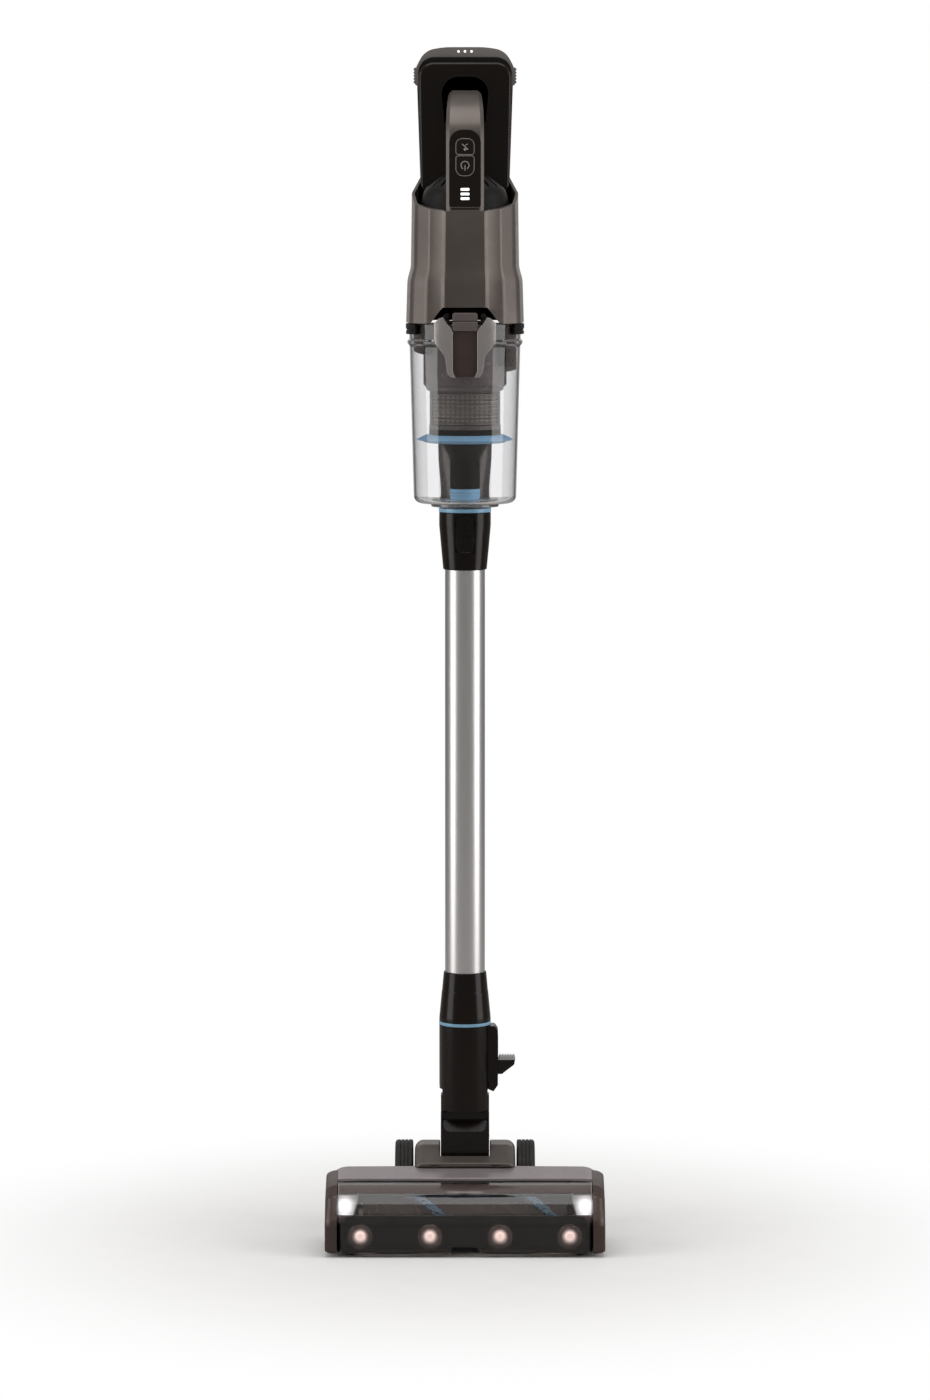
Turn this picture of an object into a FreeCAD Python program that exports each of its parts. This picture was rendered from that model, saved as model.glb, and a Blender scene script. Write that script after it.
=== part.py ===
"""Cordless stick vacuum cleaner: floor head, swivelling neck, wand and hand unit.

Millimetres, +Z up, +X to the right of someone facing the front of the cleaner, -Y towards its front.
Every piece is drawn about the upright axis of the wand (x = 0, y = 0) and moved by WAND_Y at the end, so
that the origin is on the floor under the middle of the cleaner's bounding box.
"""

import FreeCAD, Part

import math
import os

V = FreeCAD.Vector

# ---------------------------------------------------------------- driving dimensions
WAND_Y = 38.8            # from the origin back to the axis of the wand

HEAD_HALF = 130.4        # half the width of the floor head
CAP_IN = 119.0           # where the side caps begin
HEAD_FRONT = -115.0      # front face of the bumper
HEAD_BACK = -35.5        # back wall of the brush housing
HEAD_FLOOR = 6.6         # underside of the housing
BRUSH_Y, BRUSH_Z = -74.0, 29.6
BRUSH_TIP_R, BRUSH_CORE_R, BRUSH_HALF = 29.0, 24.0, 95.0
STRIP_TURNS, STRIP_START = 0.92, 131.0   # each bristle strip's winding and where it begins
WINDOW_Y, WINDOW_Z, WINDOW_R = -70.0, 22.0, 41.5
COVER_FRONT = (-67.0, 66.0)
COVER_BACK = (HEAD_BACK, 74.4)

AXLE_Y, AXLE_Z = 18.0, 43.0   # tilt pivot and rear wheels share this line
WHEEL_R, WHEEL_W, WHEEL_IN = 43.0, 17.0, 49.4
ROLLER_R, ROLLER_W, ROLLER_X, ROLLER_Y = 5.0, 6.5, 107.0, -101.0

KNUCKLE_HALF = 22.9
SWIVEL_Z = 144.0         # height of the side-to-side pivot
TONGUE_HALF = 11.0       # half thickness of the knuckle's tongue
NECK_FOOT = 120.2        # where the front of the upper neck ends
NECK_R = 24.35
NECK_TOP = 201.4
SPIGOT_R = 20.3          # plugs of the wand
SOCKET_R = 20.6

TUBE_R, TUBE_WALL = 18.75, 1.2
LOW_COLLAR = (204.6, 252.0)
TUBE_Z = (206.2, 684.0)
UP_COLLAR = (633.0, 687.0)
RING_UP = (687.2, 690.8)
DUCT_BASE = 691.2

CUP_Y = -73.0            # axis of the dust cup and of the suction motor
CUP_BOTTOM, CUP_TOP = 700.0, 865.4
CUP_R_LOW, CUP_R_TOP, CUP_WALL = 47.1, 51.2, 2.2
DOOR_R, DOOR_HOLE_R = 31.4, 29.0
HINGE_Y, HINGE_Z, HINGE_PIN_R = CUP_Y + 33.8, 697.4, 1.2
CYCLONE_R = 38.3
MESH_R = 32.3
SKIRT_R = 44.3
FINE_R = 13.9

BODY_BOTTOM = 866.0
BODY_WALL = 2.6
RIM_FRONT_Z, RIM_SLOPE, RIM_FRONT_Y = 967.6, 0.263, -125.0
BODY_BACK = 24.0
PORT_R, PORT_DEPTH, PORT_Z = 2.8, 12.0, 940.0

DOCK_FRONT, DOCK_BACK = -38.0, 25.0
DOCK_TOP = 1104.6
PACK_TOP, PACK_HALF, PACK_SPLIT = 1119.0, 46.6, 1084.5

FIT = 0.25               # gap left between pieces that only sit beside each other
RUN = 0.08               # radial clearance of a turning pin

PIECES = {}


# ---------------------------------------------------------------- drawing helpers
def place(plane, u, v, at):
    """A point of a sheet: 'xy' lies flat at height at, 'yz' faces X, 'xz' faces Y."""
    return {"xy": V(u, v, at), "yz": V(at, u, v), "xz": V(u, at, v)}[plane]


def outline(points, plane="xy", at=0.0):
    """A closed wire through corners (u, v) or (u, v, radius of the round on that corner)."""
    count = len(points)
    starts, ends, middles = [], [], []
    for i, corner in enumerate(points):
        u, v = corner[0], corner[1]
        radius = corner[2] if len(corner) > 2 else 0.0
        before, after = points[i - 1], points[(i + 1) % count]
        here = V(u, v, 0)
        back = (V(before[0], before[1], 0) - here).normalize()
        on = (V(after[0], after[1], 0) - here).normalize()
        half = back.getAngle(on) / 2
        if radius <= 0 or abs(half - math.pi / 2) < 1e-4:
            starts.append(here)
            ends.append(here)
            middles.append(None)
            continue
        reach = radius / math.tan(half)
        bisector = (back + on).normalize()
        starts.append(here + back * reach)
        ends.append(here + on * reach)
        middles.append(here + bisector * (radius / math.sin(half) - radius))
    edges = []
    for i in range(count):
        if middles[i] is not None:
            corner_points = [place(plane, p.x, p.y, at) for p in (starts[i], middles[i], ends[i])]
            edges.append(Part.Arc(*corner_points).toShape())
        a, b = ends[i], starts[(i + 1) % count]
        if a.distanceToPoint(b) > 1e-6:
            edges.append(Part.LineSegment(place(plane, a.x, a.y, at), place(plane, b.x, b.y, at)).toShape())
    return Part.Wire(edges)


def prism(points, plane, low, high):
    """The outline pushed straight from low to high across its sheet."""
    along = {"xy": V(0, 0, 1), "yz": V(1, 0, 0), "xz": V(0, 1, 0)}[plane]
    return Part.Face(outline(points, plane, low)).extrude(along * (high - low))


def block(x0, x1, y0, y1, z0, z1):
    return Part.makeBox(x1 - x0, y1 - y0, z1 - z0, V(x0, y0, z0))


def upright(radius, z0, z1, y=0.0, x=0.0):
    return Part.makeCylinder(radius, z1 - z0, V(x, y, z0), V(0, 0, 1))


def rod_x(radius, x0, x1, y, z):
    return Part.makeCylinder(radius, x1 - x0, V(x0, y, z), V(1, 0, 0))


def rod_y(radius, y0, y1, x, z):
    return Part.makeCylinder(radius, y1 - y0, V(x, y0, z), V(0, 1, 0))


def turned(points, y=0.0, x=0.0):
    """A (radius, z) outline turned a full circle about an upright axis."""
    face = Part.Face(outline(points, "xz", 0.0))
    solid = face.revolve(V(0, 0, 0), V(0, 0, 1), 360)
    solid.translate(V(x, y, 0))
    return solid


def ring(outer, inner, z0, z1, y=0.0):
    return upright(outer, z0, z1, y).cut(upright(inner, z0 - 1, z1 + 1, y))


def mirrored(shape):
    return shape.mirror(V(0, 0, 0), V(1, 0, 0))


def soften(shape, radius, chosen):
    """Rounds the chosen edges."""
    return shape.makeFillet(radius, [e for e in shape.Edges if chosen(e)])


def at_x(x):
    return lambda e: abs(e.BoundBox.XMin - x) < 0.01 and abs(e.BoundBox.XMax - x) < 0.01


def at_y(y):
    return lambda e: abs(e.BoundBox.YMin - y) < 0.01 and abs(e.BoundBox.YMax - y) < 0.01


def joined(*shapes):
    whole = shapes[0].fuse(list(shapes[1:]))
    return whole.removeSplitter()


def keep(name, *shapes):
    """Stores a piece: one solid, or several alike that share its name."""
    PIECES[name] = shapes[0] if len(shapes) == 1 else Part.makeCompound(list(shapes))


def both_sides(shape):
    return (shape, mirrored(shape))


# ---------------------------------------------------------------- floor head
def window_point(degrees, radius=WINDOW_R):
    """A point of the window's curve, measured from the front."""
    a = math.radians(degrees)
    return (WINDOW_Y - radius * math.cos(a), WINDOW_Z + radius * math.sin(a))


BUMPER_TOP = window_point(25)


def window():
    """Clear curved shell over the brush, from the cover's lip to the bumper."""
    outer = rod_x(WINDOW_R, -CAP_IN + FIT, CAP_IN - FIT, WINDOW_Y, WINDOW_Z)
    inner = rod_x(WINDOW_R - 2.4, -CAP_IN, CAP_IN, WINDOW_Y, WINDOW_Z)
    sector = [(WINDOW_Y, WINDOW_Z), window_point(25.4, 80), window_point(60, 90), (WINDOW_Y + 1, 110)]
    keep("brush_window", outer.cut(inner).common(prism(sector, "yz", -CAP_IN, CAP_IN)))


def bumper():
    """Smoked lens across the front, with a shallow cut-out in the middle of its lower edge."""
    y, z = BUMPER_TOP
    profile = [(y - 2.2, z + 0.2, 1.2), (HEAD_FRONT, 31, 6), (HEAD_FRONT, 10, 2), (HEAD_FRONT + 2, HEAD_FLOOR),
               (HEAD_FRONT + 5.5, HEAD_FLOOR), (HEAD_FRONT + 3, 11), (HEAD_FRONT + 3, 30), (y + 2.1, z - 1.4)]
    shell = prism(profile, "yz", -CAP_IN + FIT, CAP_IN - FIT)
    notch = prism([(-14.5, HEAD_FLOOR - 1), (-11.5, 10.2), (11.5, 10.2), (14.5, HEAD_FLOOR - 1)], "xz",
                  HEAD_FRONT - 1, HEAD_FRONT + 8)
    keep("front_bumper", shell.cut(notch))


def cover():
    """Top cover: a sloped shelf behind the window with a lip along its front and rounded back corners."""
    fy, fz = COVER_FRONT
    by, bz = COVER_BACK
    profile = [(fy, fz, 1.5), (by, bz, 3.5), (by, 58), (by - 2.4, 58), (by - 2.4, bz - 4), (fy + 2, fz - 3), (fy, 62)]
    shelf = prism(profile, "yz", -CAP_IN, CAP_IN)
    plan = [(-CAP_IN, fy - 1), (-CAP_IN, by, 7), (CAP_IN, by, 7), (CAP_IN, fy - 1)]
    keep("head_cover", shelf.common(prism(plan, "xy", 50, 80)))


def side_caps():
    """End fairings, rounded outside, that carry the brush chamber's ends."""
    by, bz = COVER_BACK
    profile = [(HEAD_FRONT + 0.6, HEAD_FLOOR, 3), (HEAD_FRONT, 33, 12), window_point(28, 42.6), window_point(48, 42.6),
               window_point(72, 42.6), (COVER_FRONT[0], 66.2, 4), (by - 3, bz - 3.4, 5), (by, 45, 12), (by, HEAD_FLOOR, 5)]
    cap = prism(profile, "yz", CAP_IN, HEAD_HALF)
    cap = soften(cap, 5.0, at_x(HEAD_HALF))
    lean = [(HEAD_HALF - 7, 80), (HEAD_HALF - 4.4, 66), (HEAD_HALF, 36), (HEAD_HALF + 5, 36), (HEAD_HALF + 5, 80)]
    cap = cap.cut(prism(lean, "xz", HEAD_FRONT - 5, HEAD_BACK + 5))
    keep("side_cap_right", cap)
    keep("side_cap_left", mirrored(cap))


def base():
    """Chassis: floor plate with the suction mouth, chamber back wall, end plates and the tail under the yoke."""
    x = CAP_IN - FIT
    plate = prism([(-x, HEAD_FRONT + 6), (-x, HEAD_BACK, 6), (-46, HEAD_BACK, 3), (-46, 34, 8), (46, 34, 8),
                   (46, HEAD_BACK, 3), (x, HEAD_BACK, 6), (x, HEAD_FRONT + 6)], "xy", HEAD_FLOOR, HEAD_FLOOR + 4)
    mouth = prism([(-99, -104, 3), (99, -104, 3), (99, -45, 6), (-99, -45, 6)], "xy", 0, 20)
    back = block(-x, x, -40.6, HEAD_BACK - 0.2, HEAD_FLOOR + 3.9, 57.5)
    shape = joined(plate.cut(mouth), back)
    end = prism([(-106, 10), (-106, 34), (-98, 44), (-74, 57), (-41, 57), (-41, 10)], "yz", 99.6, 103.0)
    rest = block(24.0, 46.0, HEAD_BACK - 0.2, 32, HEAD_FLOOR + 3.9, 12.0)
    pocket = block(ROLLER_X - 4.2, ROLLER_X + 4.2, ROLLER_Y - 6.4, ROLLER_Y + 6.4, 0, 18)
    lugs = block(ROLLER_X - 7.2, ROLLER_X + 7.2, ROLLER_Y - 4, ROLLER_Y + 4, 3.4, HEAD_FLOOR + 0.1).cut(pocket)
    for added in (*both_sides(end), *both_sides(rest)):
        shape = shape.fuse(added)
    for gap, lug in zip(both_sides(pocket), both_sides(lugs)):
        shape = shape.cut(gap).fuse(lug)
    elbow = rod_y(14.6, HEAD_BACK - 0.3, 0, 0, 33).cut(rod_x(20.8, -30, 30, AXLE_Y, AXLE_Z))
    elbow = elbow.cut(prism([(-10.2, 38), (-13.6, 47), (-18, 60), (40, 60), (40, 10), (-9, 20)], "yz", -30, 30))
    shape = shape.fuse(elbow).cut(rod_y(12.6, -45, 0, 0, 33))
    motor_seat = rod_x(8.2, -110, -95, BRUSH_Y, BRUSH_Z)
    cap_seat = rod_x(14.2, 95, 110, BRUSH_Y, BRUSH_Z)
    shape = shape.cut(motor_seat).cut(cap_seat)
    for hole in both_sides(rod_x(1.55, ROLLER_X - 8, ROLLER_X + 8, ROLLER_Y, ROLLER_R)):
        shape = shape.cut(hole)
    for x, y in SCREWS:
        shape = shape.cut(upright(3.2, HEAD_FLOOR - 1, HEAD_FLOOR + 1.8, y, x)).cut(upright(1.5, 0, 12, y, x))
    keep("head_base", shape.removeSplitter())


SCREWS = [(-110, -60), (110, -60), (-70, -40.5), (70, -40.5), (-35, 20), (35, 20)]


def screws():
    """Six pan-head screws in the chassis underside."""
    made = []
    for x, y in SCREWS:
        head = upright(2.9, HEAD_FLOOR, HEAD_FLOOR + 1.7, y, x)
        slot_a = block(x - 2, x + 2, y - 0.4, y + 0.4, HEAD_FLOOR - 0.1, HEAD_FLOOR + 0.9)
        slot_b = block(x - 0.4, x + 0.4, y - 2, y + 2, HEAD_FLOOR - 0.1, HEAD_FLOOR + 0.9)
        made.append(head.fuse(upright(1.4, HEAD_FLOOR + 1.6, HEAD_FLOOR + 4.6, y, x)).cut(slot_a).cut(slot_b))
    keep("case_screws", *made)


LED_X = (32.6, 97.4)
LED_Z = 19.5
POD_X, POD_Y, POD_Z = 112.5, -97.0, 44.0


def lights():
    """Four lamps behind the bumper and one in each pod, with the reflector pods."""
    made = []
    for x in LED_X:
        for shape in both_sides(rod_y(3.4, HEAD_FRONT + 3.2, HEAD_FRONT + 6.2, x, LED_Z)):
            made.append(shape)
    for shape in both_sides(rod_y(3.4, POD_Y - 2.4, POD_Y + 1.0, POD_X, POD_Z)):
        made.append(shape)
    keep("head_leds", *made)
    pod_profile = [(-107.0, 30.5), (-106.2, 37), (-98.5, 50.5), (-84, 58.2), (-84, 30.5)]
    pod = prism(pod_profile, "yz", 104.0, CAP_IN - FIT)
    bowl = Part.makeCone(8.6, 4.2, 9.6, V(POD_X, POD_Y - 10.5, POD_Z), V(0, 1, 0))
    pod = pod.cut(bowl).cut(rod_y(3.6, POD_Y - 3, POD_Y + 2, POD_X, POD_Z))
    pod = pod.common(rod_x(WINDOW_R - 2.4 - FIT, 100, CAP_IN, WINDOW_Y, WINDOW_Z))
    keep("light_pods", *both_sides(pod))


def yoke():
    """Rear hood: a hub fairing on each side of the neck, joined in front by a crossbar over the cover."""
    back = HEAD_BACK + 0.3
    profile = [(-46, 72.0), (-46, 74.4), (-12, 88.4, 12), (8, 88.8, 12), (34, 76, 14), (44, 45, 16), (32, 12.2, 8),
               (back, 12.2), (back, 75.4)]
    arm = prism(profile, "yz", 23.5, 47.6)
    slant = [(48, 66), (48, 95), (40, 95), (43.4, 89.5)]
    arm = arm.cut(prism(slant, "xz", -60, 60))
    bar = prism([(-46, 72.0), (-46, 74.4), (-30, 81.0), (-30, 77.6), (back, 75.4)], "yz", -24, 24)
    hollow = prism([(-31, 10), (-31, 70), (-13, 80), (7, 81), (29, 70), (38, 46), (28.6, 10)], "yz", 27, 44.2)
    arm = arm.cut(hollow.cut(rod_x(9, 20, 50, AXLE_Y, AXLE_Z))).cut(rod_x(4.0, 20, 50, AXLE_Y, AXLE_Z))
    keep("pivot_yoke", joined(arm, mirrored(arm), bar))


def axles():
    """Steel stub axles: each carries a rear wheel outside its arm and the neck's barrel inside it."""
    pin = rod_x(4.0, 14.5, 67.4, AXLE_Y, AXLE_Z).fuse(rod_x(5.6, 67.4, 68.8, AXLE_Y, AXLE_Z))
    roller_pin = rod_x(1.5, ROLLER_X - 7.0, ROLLER_X + 7.0, ROLLER_Y, ROLLER_R)
    keep("axle_pins", *both_sides(pin), *both_sides(roller_pin))


def wheels():
    """Rear wheels with rubber tyres, and the small front rollers."""
    x0, x1 = WHEEL_IN, WHEEL_IN + WHEEL_W
    tyre = rod_x(WHEEL_R, x0, x1, AXLE_Y, AXLE_Z).cut(rod_x(WHEEL_R - 6, x0 - 1, x1 + 1, AXLE_Y, AXLE_Z))
    tyre = soften(tyre, 3.2, lambda e: at_x(x1)(e) and e.BoundBox.ZLength > 2 * WHEEL_R - 2)
    tyre = soften(tyre, 1.6, lambda e: at_x(x0)(e) and e.BoundBox.ZLength > 2 * WHEEL_R - 2)
    rim = rod_x(WHEEL_R - 6, x0 + 1, x1 - 0.6, AXLE_Y, AXLE_Z)
    dish = rod_x(WHEEL_R - 10, x1 - 5, x1, AXLE_Y, AXLE_Z).cut(rod_x(10, x1 - 5, x1, AXLE_Y, AXLE_Z))
    hollow = rod_x(WHEEL_R - 10, x0, x1 - 8, AXLE_Y, AXLE_Z).cut(rod_x(9, x0, x1 - 8, AXLE_Y, AXLE_Z))
    rim = rim.cut(dish).cut(hollow).cut(rod_x(4.0 + RUN, x0 - 1, x1 + 1, AXLE_Y, AXLE_Z))
    for i in range(6):
        a = math.radians(60 * i)
        y, z = AXLE_Y + 22 * math.cos(a), AXLE_Z + 22 * math.sin(a)
        rim = rim.cut(rod_x(5.5, x0, x1, y, z))
    roller = rod_x(ROLLER_R, ROLLER_X - ROLLER_W / 2, ROLLER_X + ROLLER_W / 2, ROLLER_Y, ROLLER_R)
    roller = roller.cut(rod_x(1.5 + RUN, ROLLER_X - 9, ROLLER_X + 9, ROLLER_Y, ROLLER_R))
    for side, flip in (("right", lambda s: s), ("left", mirrored)):
        keep("tyre_" + side, flip(tyre))
        keep("wheel_" + side, flip(rim))
        keep("front_roller_" + side, flip(roller))


def helix_strip(radius, height, width, turns, start_degrees):
    """A strip standing on a cylinder about X and winding along it, made of a swept upright blade."""
    pitch = 2 * BRUSH_HALF / turns
    path = Part.makeHelix(pitch, 2 * BRUSH_HALF - 6, radius)
    blade = Part.Wire(Part.makePolygon([V(radius - 1.2, 0, -width / 2), V(radius + height, 0, -width / 2),
                                        V(radius + height, 0, width / 2), V(radius - 1.2, 0, width / 2),
                                        V(radius - 1.2, 0, -width / 2)]).Edges)
    strip = Part.Wire(path.Edges).makePipeShell([blade], True, True)
    strip.rotate(V(0, 0, 0), V(0, 0, 1), start_degrees)
    strip.rotate(V(0, 0, 0), V(0, 1, 0), 90)
    strip.translate(V(-BRUSH_HALF + 3, BRUSH_Y, BRUSH_Z))
    return strip


def brush():
    """Brush roll: hollow core round its motor, with two winding bristle strips."""
    core = rod_x(BRUSH_CORE_R, -BRUSH_HALF, BRUSH_HALF, BRUSH_Y, BRUSH_Z)
    core = core.cut(rod_x(17, -BRUSH_HALF - 1, -26, BRUSH_Y, BRUSH_Z))
    core = core.cut(rod_x(17, -20, BRUSH_HALF - 8, BRUSH_Y, BRUSH_Z))
    core = core.cut(rod_x(4.0 + RUN, BRUSH_HALF - 9, BRUSH_HALF + 1, BRUSH_Y, BRUSH_Z))
    strips = [helix_strip(BRUSH_CORE_R, BRUSH_TIP_R - BRUSH_CORE_R, 4.2, STRIP_TURNS, a)
              for a in (STRIP_START, STRIP_START + 180)]
    for strip in strips:
        core = core.cut(strip)
    keep("brush_core", core)
    keep("brush_bristles", *strips)
    motor = rod_x(13, -BRUSH_HALF + 2, -27, BRUSH_Y, BRUSH_Z)
    motor = motor.fuse(rod_x(16.4, -BRUSH_HALF - 4.4, -BRUSH_HALF + 2, BRUSH_Y, BRUSH_Z))
    motor = motor.fuse(rod_x(8.0, -103, -BRUSH_HALF - 4, BRUSH_Y, BRUSH_Z))
    keep("brush_motor", motor.removeSplitter())
    end = rod_x(14.0, BRUSH_HALF + 4.6, CAP_IN - 16.2, BRUSH_Y, BRUSH_Z).fuse(
        rod_x(16.0, BRUSH_HALF + 0.6, BRUSH_HALF + 4.6, BRUSH_Y, BRUSH_Z))
    end = end.fuse(rod_x(4.0, BRUSH_HALF - 7, BRUSH_HALF + 2, BRUSH_Y, BRUSH_Z))
    keep("brush_end_cap", end.removeSplitter())


# ---------------------------------------------------------------- neck
def knuckle():
    """Tilting knuckle: barrel on the stub axles, block with a scooped front, and the swivel tongue."""
    barrel = rod_x(20, -KNUCKLE_HALF, KNUCKLE_HALF, AXLE_Y, AXLE_Z)
    side = [(-9.4, 40), (-24, 79, 5), (-24, 136), (24, 136), (29, 60), (29.8, 40)]
    neck = prism(side, "yz", -KNUCKLE_HALF, KNUCKLE_HALF)
    scoop = rod_y(NECK_R + 0.6, -40, 40, 0, SWIVEL_Z)
    cheek_room = scoop.fuse(block(-KNUCKLE_HALF - 1, KNUCKLE_HALF + 1, -40, 40, SWIVEL_Z - 13, SWIVEL_Z + 10))
    cheek_room = cheek_room.fuse(block(-30, 30, -40, -TONGUE_HALF, NECK_FOOT - 9.2, 150))
    shoulders = neck.cut(cheek_room).cut(block(-30, 30, -TONGUE_HALF - 0.4, TONGUE_HALF + 0.4, 118, 150))
    lip = prism([(-20.5, 102, 6), (-20.5, 150), (20.5, 150), (20.5, 102, 6)], "xz", -40, -11)
    lip = lip.common(prism([(-40, 96), (-24.5, 101.5), (-13.0, 112), (-13.0, 160), (-40, 160)], "yz", -30, 30))
    tongue = block(-13.5, 13.5, -TONGUE_HALF, TONGUE_HALF, 110, SWIVEL_Z).fuse(
        rod_y(20.8, -TONGUE_HALF, TONGUE_HALF, 0, SWIVEL_Z))
    shape = joined(barrel, shoulders.cut(lip), tongue)
    airway = upright(8.8, 36, 180).fuse(block(-9.5, 9.5, -30, 6, 30, 50))
    shape = shape.cut(airway)
    for x0, x1 in ((14.0, KNUCKLE_HALF + 1), (-KNUCKLE_HALF - 1, -14.0)):
        shape = shape.cut(rod_x(4.0 + RUN, x0, x1, AXLE_Y, AXLE_Z))
    for y0, y1 in ((-TONGUE_HALF - 1, -9.6), (9.6, TONGUE_HALF + 1)):
        shape = shape.cut(rod_y(4.0, y0, y1, 0, SWIVEL_Z))
    keep("tilt_knuckle", shape)
    keep("swivel_pins", rod_y(4.0, -18.6, -9.8, 0, SWIVEL_Z), rod_y(4.0, 9.8, 18.6, 0, SWIVEL_Z))


PEDAL_SLOT = (143.5, 191.0)
CATCH_Z = (178.0, 186.0)


def swivel():
    """Upper neck: a round body with cheeks either side of the tongue, the wand socket and the pedal's housing."""
    body = upright(NECK_R, SWIVEL_Z - NECK_R, NECK_TOP)
    gap = TONGUE_HALF + 0.4
    below = block(-30, 30, -gap, 30, SWIVEL_Z - 40, SWIVEL_Z).cut(rod_y(NECK_R - 0.1, -31, 31, 0, SWIVEL_Z))
    below = below.fuse(block(-30, 30, -30, -gap, SWIVEL_Z - 40, NECK_FOOT))
    slot = rod_y(21.4, -gap, gap, 0, SWIVEL_Z).fuse(block(-30, 30, -gap, gap, SWIVEL_Z - 40, SWIVEL_Z - 3.6))
    body = body.cut(below).cut(slot)
    housing = prism([(20, 141), (27, 138, 1), (31.2, 144, 1), (31.2, 196, 2), (28, 200.6, 1), (20, 200.6)], "xz", -10, 10)
    housing = housing.cut(rod_y(22.6, -11, 11, 0, SWIVEL_Z))
    body = body.fuse(housing)
    body = body.cut(upright(12.5, 160, 176)).cut(upright(SOCKET_R, 172.6, NECK_TOP + 1))
    body = body.cut(block(25.8, 33, -6.3, 6.3, *PEDAL_SLOT))
    body = body.cut(block(18, 26, -4.3, 4.3, CATCH_Z[0] - 0.3, CATCH_Z[1] + 0.3))
    for y0, y1 in ((-19, -gap + 0.5), (gap - 0.5, 19)):
        body = body.cut(rod_y(4.0 + RUN, y0, y1, 0, SWIVEL_Z))
    keep("swivel_body", body.removeSplitter())
    keep("swivel_ring", ring(NECK_R + 0.15, SOCKET_R, NECK_TOP, LOW_COLLAR[0] - 0.2))


def pedal():
    """Foot pedal on the right of the neck, its ribbed pad, and the catch that it draws out of the wand."""
    plate = block(26.0, 31.4, -6.0, 6.0, 153, 190.6)
    foot = prism([(31.0, 154.5), (35, 154.5, 1), (46.6, 163.6, 1.4), (47.4, 168.0), (31.0, 168.0)], "xz", -9, 9)
    foot = foot.cut(block(30.9, 31.5, -20, 20, 150, 170).cut(block(30, 33, -6.0, 6.0, 150, 170)))
    keep("release_pedal", joined(plate, foot))
    pad = prism([(31.9, 168.0), (47.4, 168.0), (47.8, 169.6, 0.6), (31.9, 169.6)], "xz", -9, 9)
    for i in range(6):
        x = 33.4 + 2.5 * i
        pad = pad.fuse(prism([(x - 0.9, 169.5), (x - 0.5, 171.0), (x + 0.5, 171.0), (x + 0.9, 169.5)], "xz", -8.6, 8.6))
    keep("pedal_grip", pad.removeSplitter())
    nose = prism([(18.6, CATCH_Z[0] + 2), (20.8, CATCH_Z[0]), (23.1, CATCH_Z[0]), (23.1, CATCH_Z[1]),
                  (18.6, CATCH_Z[1])], "xz", -4, 4)
    keep("wand_catch", nose)


# ---------------------------------------------------------------- wand
def wand():
    """Tube with a moulded collar and plug at each end."""
    z0, z1 = LOW_COLLAR
    cone = turned([(15.2, 173.4), (SPIGOT_R - 1, 173.4), (SPIGOT_R, 175), (SPIGOT_R, z0), (NECK_R, z0),
                   (NECK_R, z0 + 3), (19.9, z1), (TUBE_R, z1), (TUBE_R, TUBE_Z[0]), (15.2, TUBE_Z[0])])
    keyway = block(17.6, 22, -4.6, 4.6, 170, CATCH_Z[1] + 0.4)
    keep("wand_lower_collar", cone.cut(keyway))
    keep("wand_tube", ring(TUBE_R, TUBE_R - TUBE_WALL, *TUBE_Z))
    z0, z1 = UP_COLLAR
    bulge = turned([(TUBE_R, z0), (20.6, z0, 1.2), (22.6, z0 + 22, 60), (NECK_R, z1 - 12, 30), (NECK_R, z1),
                    (NECK_R - 0.2, z1 + 0.0), (SPIGOT_R, z1), (SPIGOT_R, 711), (SPIGOT_R - 1.4, 713.0),
                    (16.2, 713.0), (16.2, TUBE_Z[1]), (TUBE_R, TUBE_Z[1])])
    recess = prism([(-9.0, 650, 1.5), (9.0, 650, 1.5), (9.0, 683.4, 1.5), (-9.0, 683.4, 1.5)], "xz", -30, -18)
    keep("wand_upper_collar", bulge.cut(recess))
    button = prism([(-8.75, 650.3, 1.3), (8.75, 650.3, 1.3), (8.75, 683.1, 1.3), (-8.75, 683.1, 1.3)], "xz", -30, -20.9)
    button = button.common(upright(NECK_R - 1.0, 640, 690)).common(turned([(0, 645), (21.7, 645), (23.0, 662),
                                                                           (23.4, 676), (23.4, 690), (0, 690)]))
    button = button.cut(block(-12, 12, -30, -22.3, 665.4, 666.4))
    keep("wand_button", button)
    keep("wand_ring", ring(NECK_R + 0.25, SPIGOT_R + 0.05, *RING_UP))


# ---------------------------------------------------------------- dust cup and cyclone
def duct_oval(z, across, deep):
    return Part.Wire([Part.Ellipse(V(0, 0, z), across, deep).toShape()])


def intake_duct():
    """Rear duct from the wand's socket up to the cyclone's inlet, round below and oval beside the cup."""
    outer = upright(24.2, DUCT_BASE, 704).fuse(Part.makeLoft([duct_oval(704, 24.2, 24.2), duct_oval(745, 26.7, 18.5)], True))
    outer = outer.fuse(Part.Face(duct_oval(745, 26.7, 18.5)).extrude(V(0, 0, 120.6)))
    inner = upright(SOCKET_R, DUCT_BASE - 1, 714.5).fuse(upright(15.5, 714, 722))
    inner = inner.fuse(Part.makeLoft([duct_oval(722, 15.5, 15.5), duct_oval(752, 24.3, 16.1)], True))
    inner = inner.fuse(Part.Face(duct_oval(752, 24.3, 16.1)).extrude(V(0, 0, 120)))
    shape = outer.cut(inner)
    port = prism([(-13, 842, 4), (13, 842, 4), (13, 861, 4), (-13, 861, 4)], "xz", -30, -5)
    keep("intake_duct", shape.cut(port))


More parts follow.
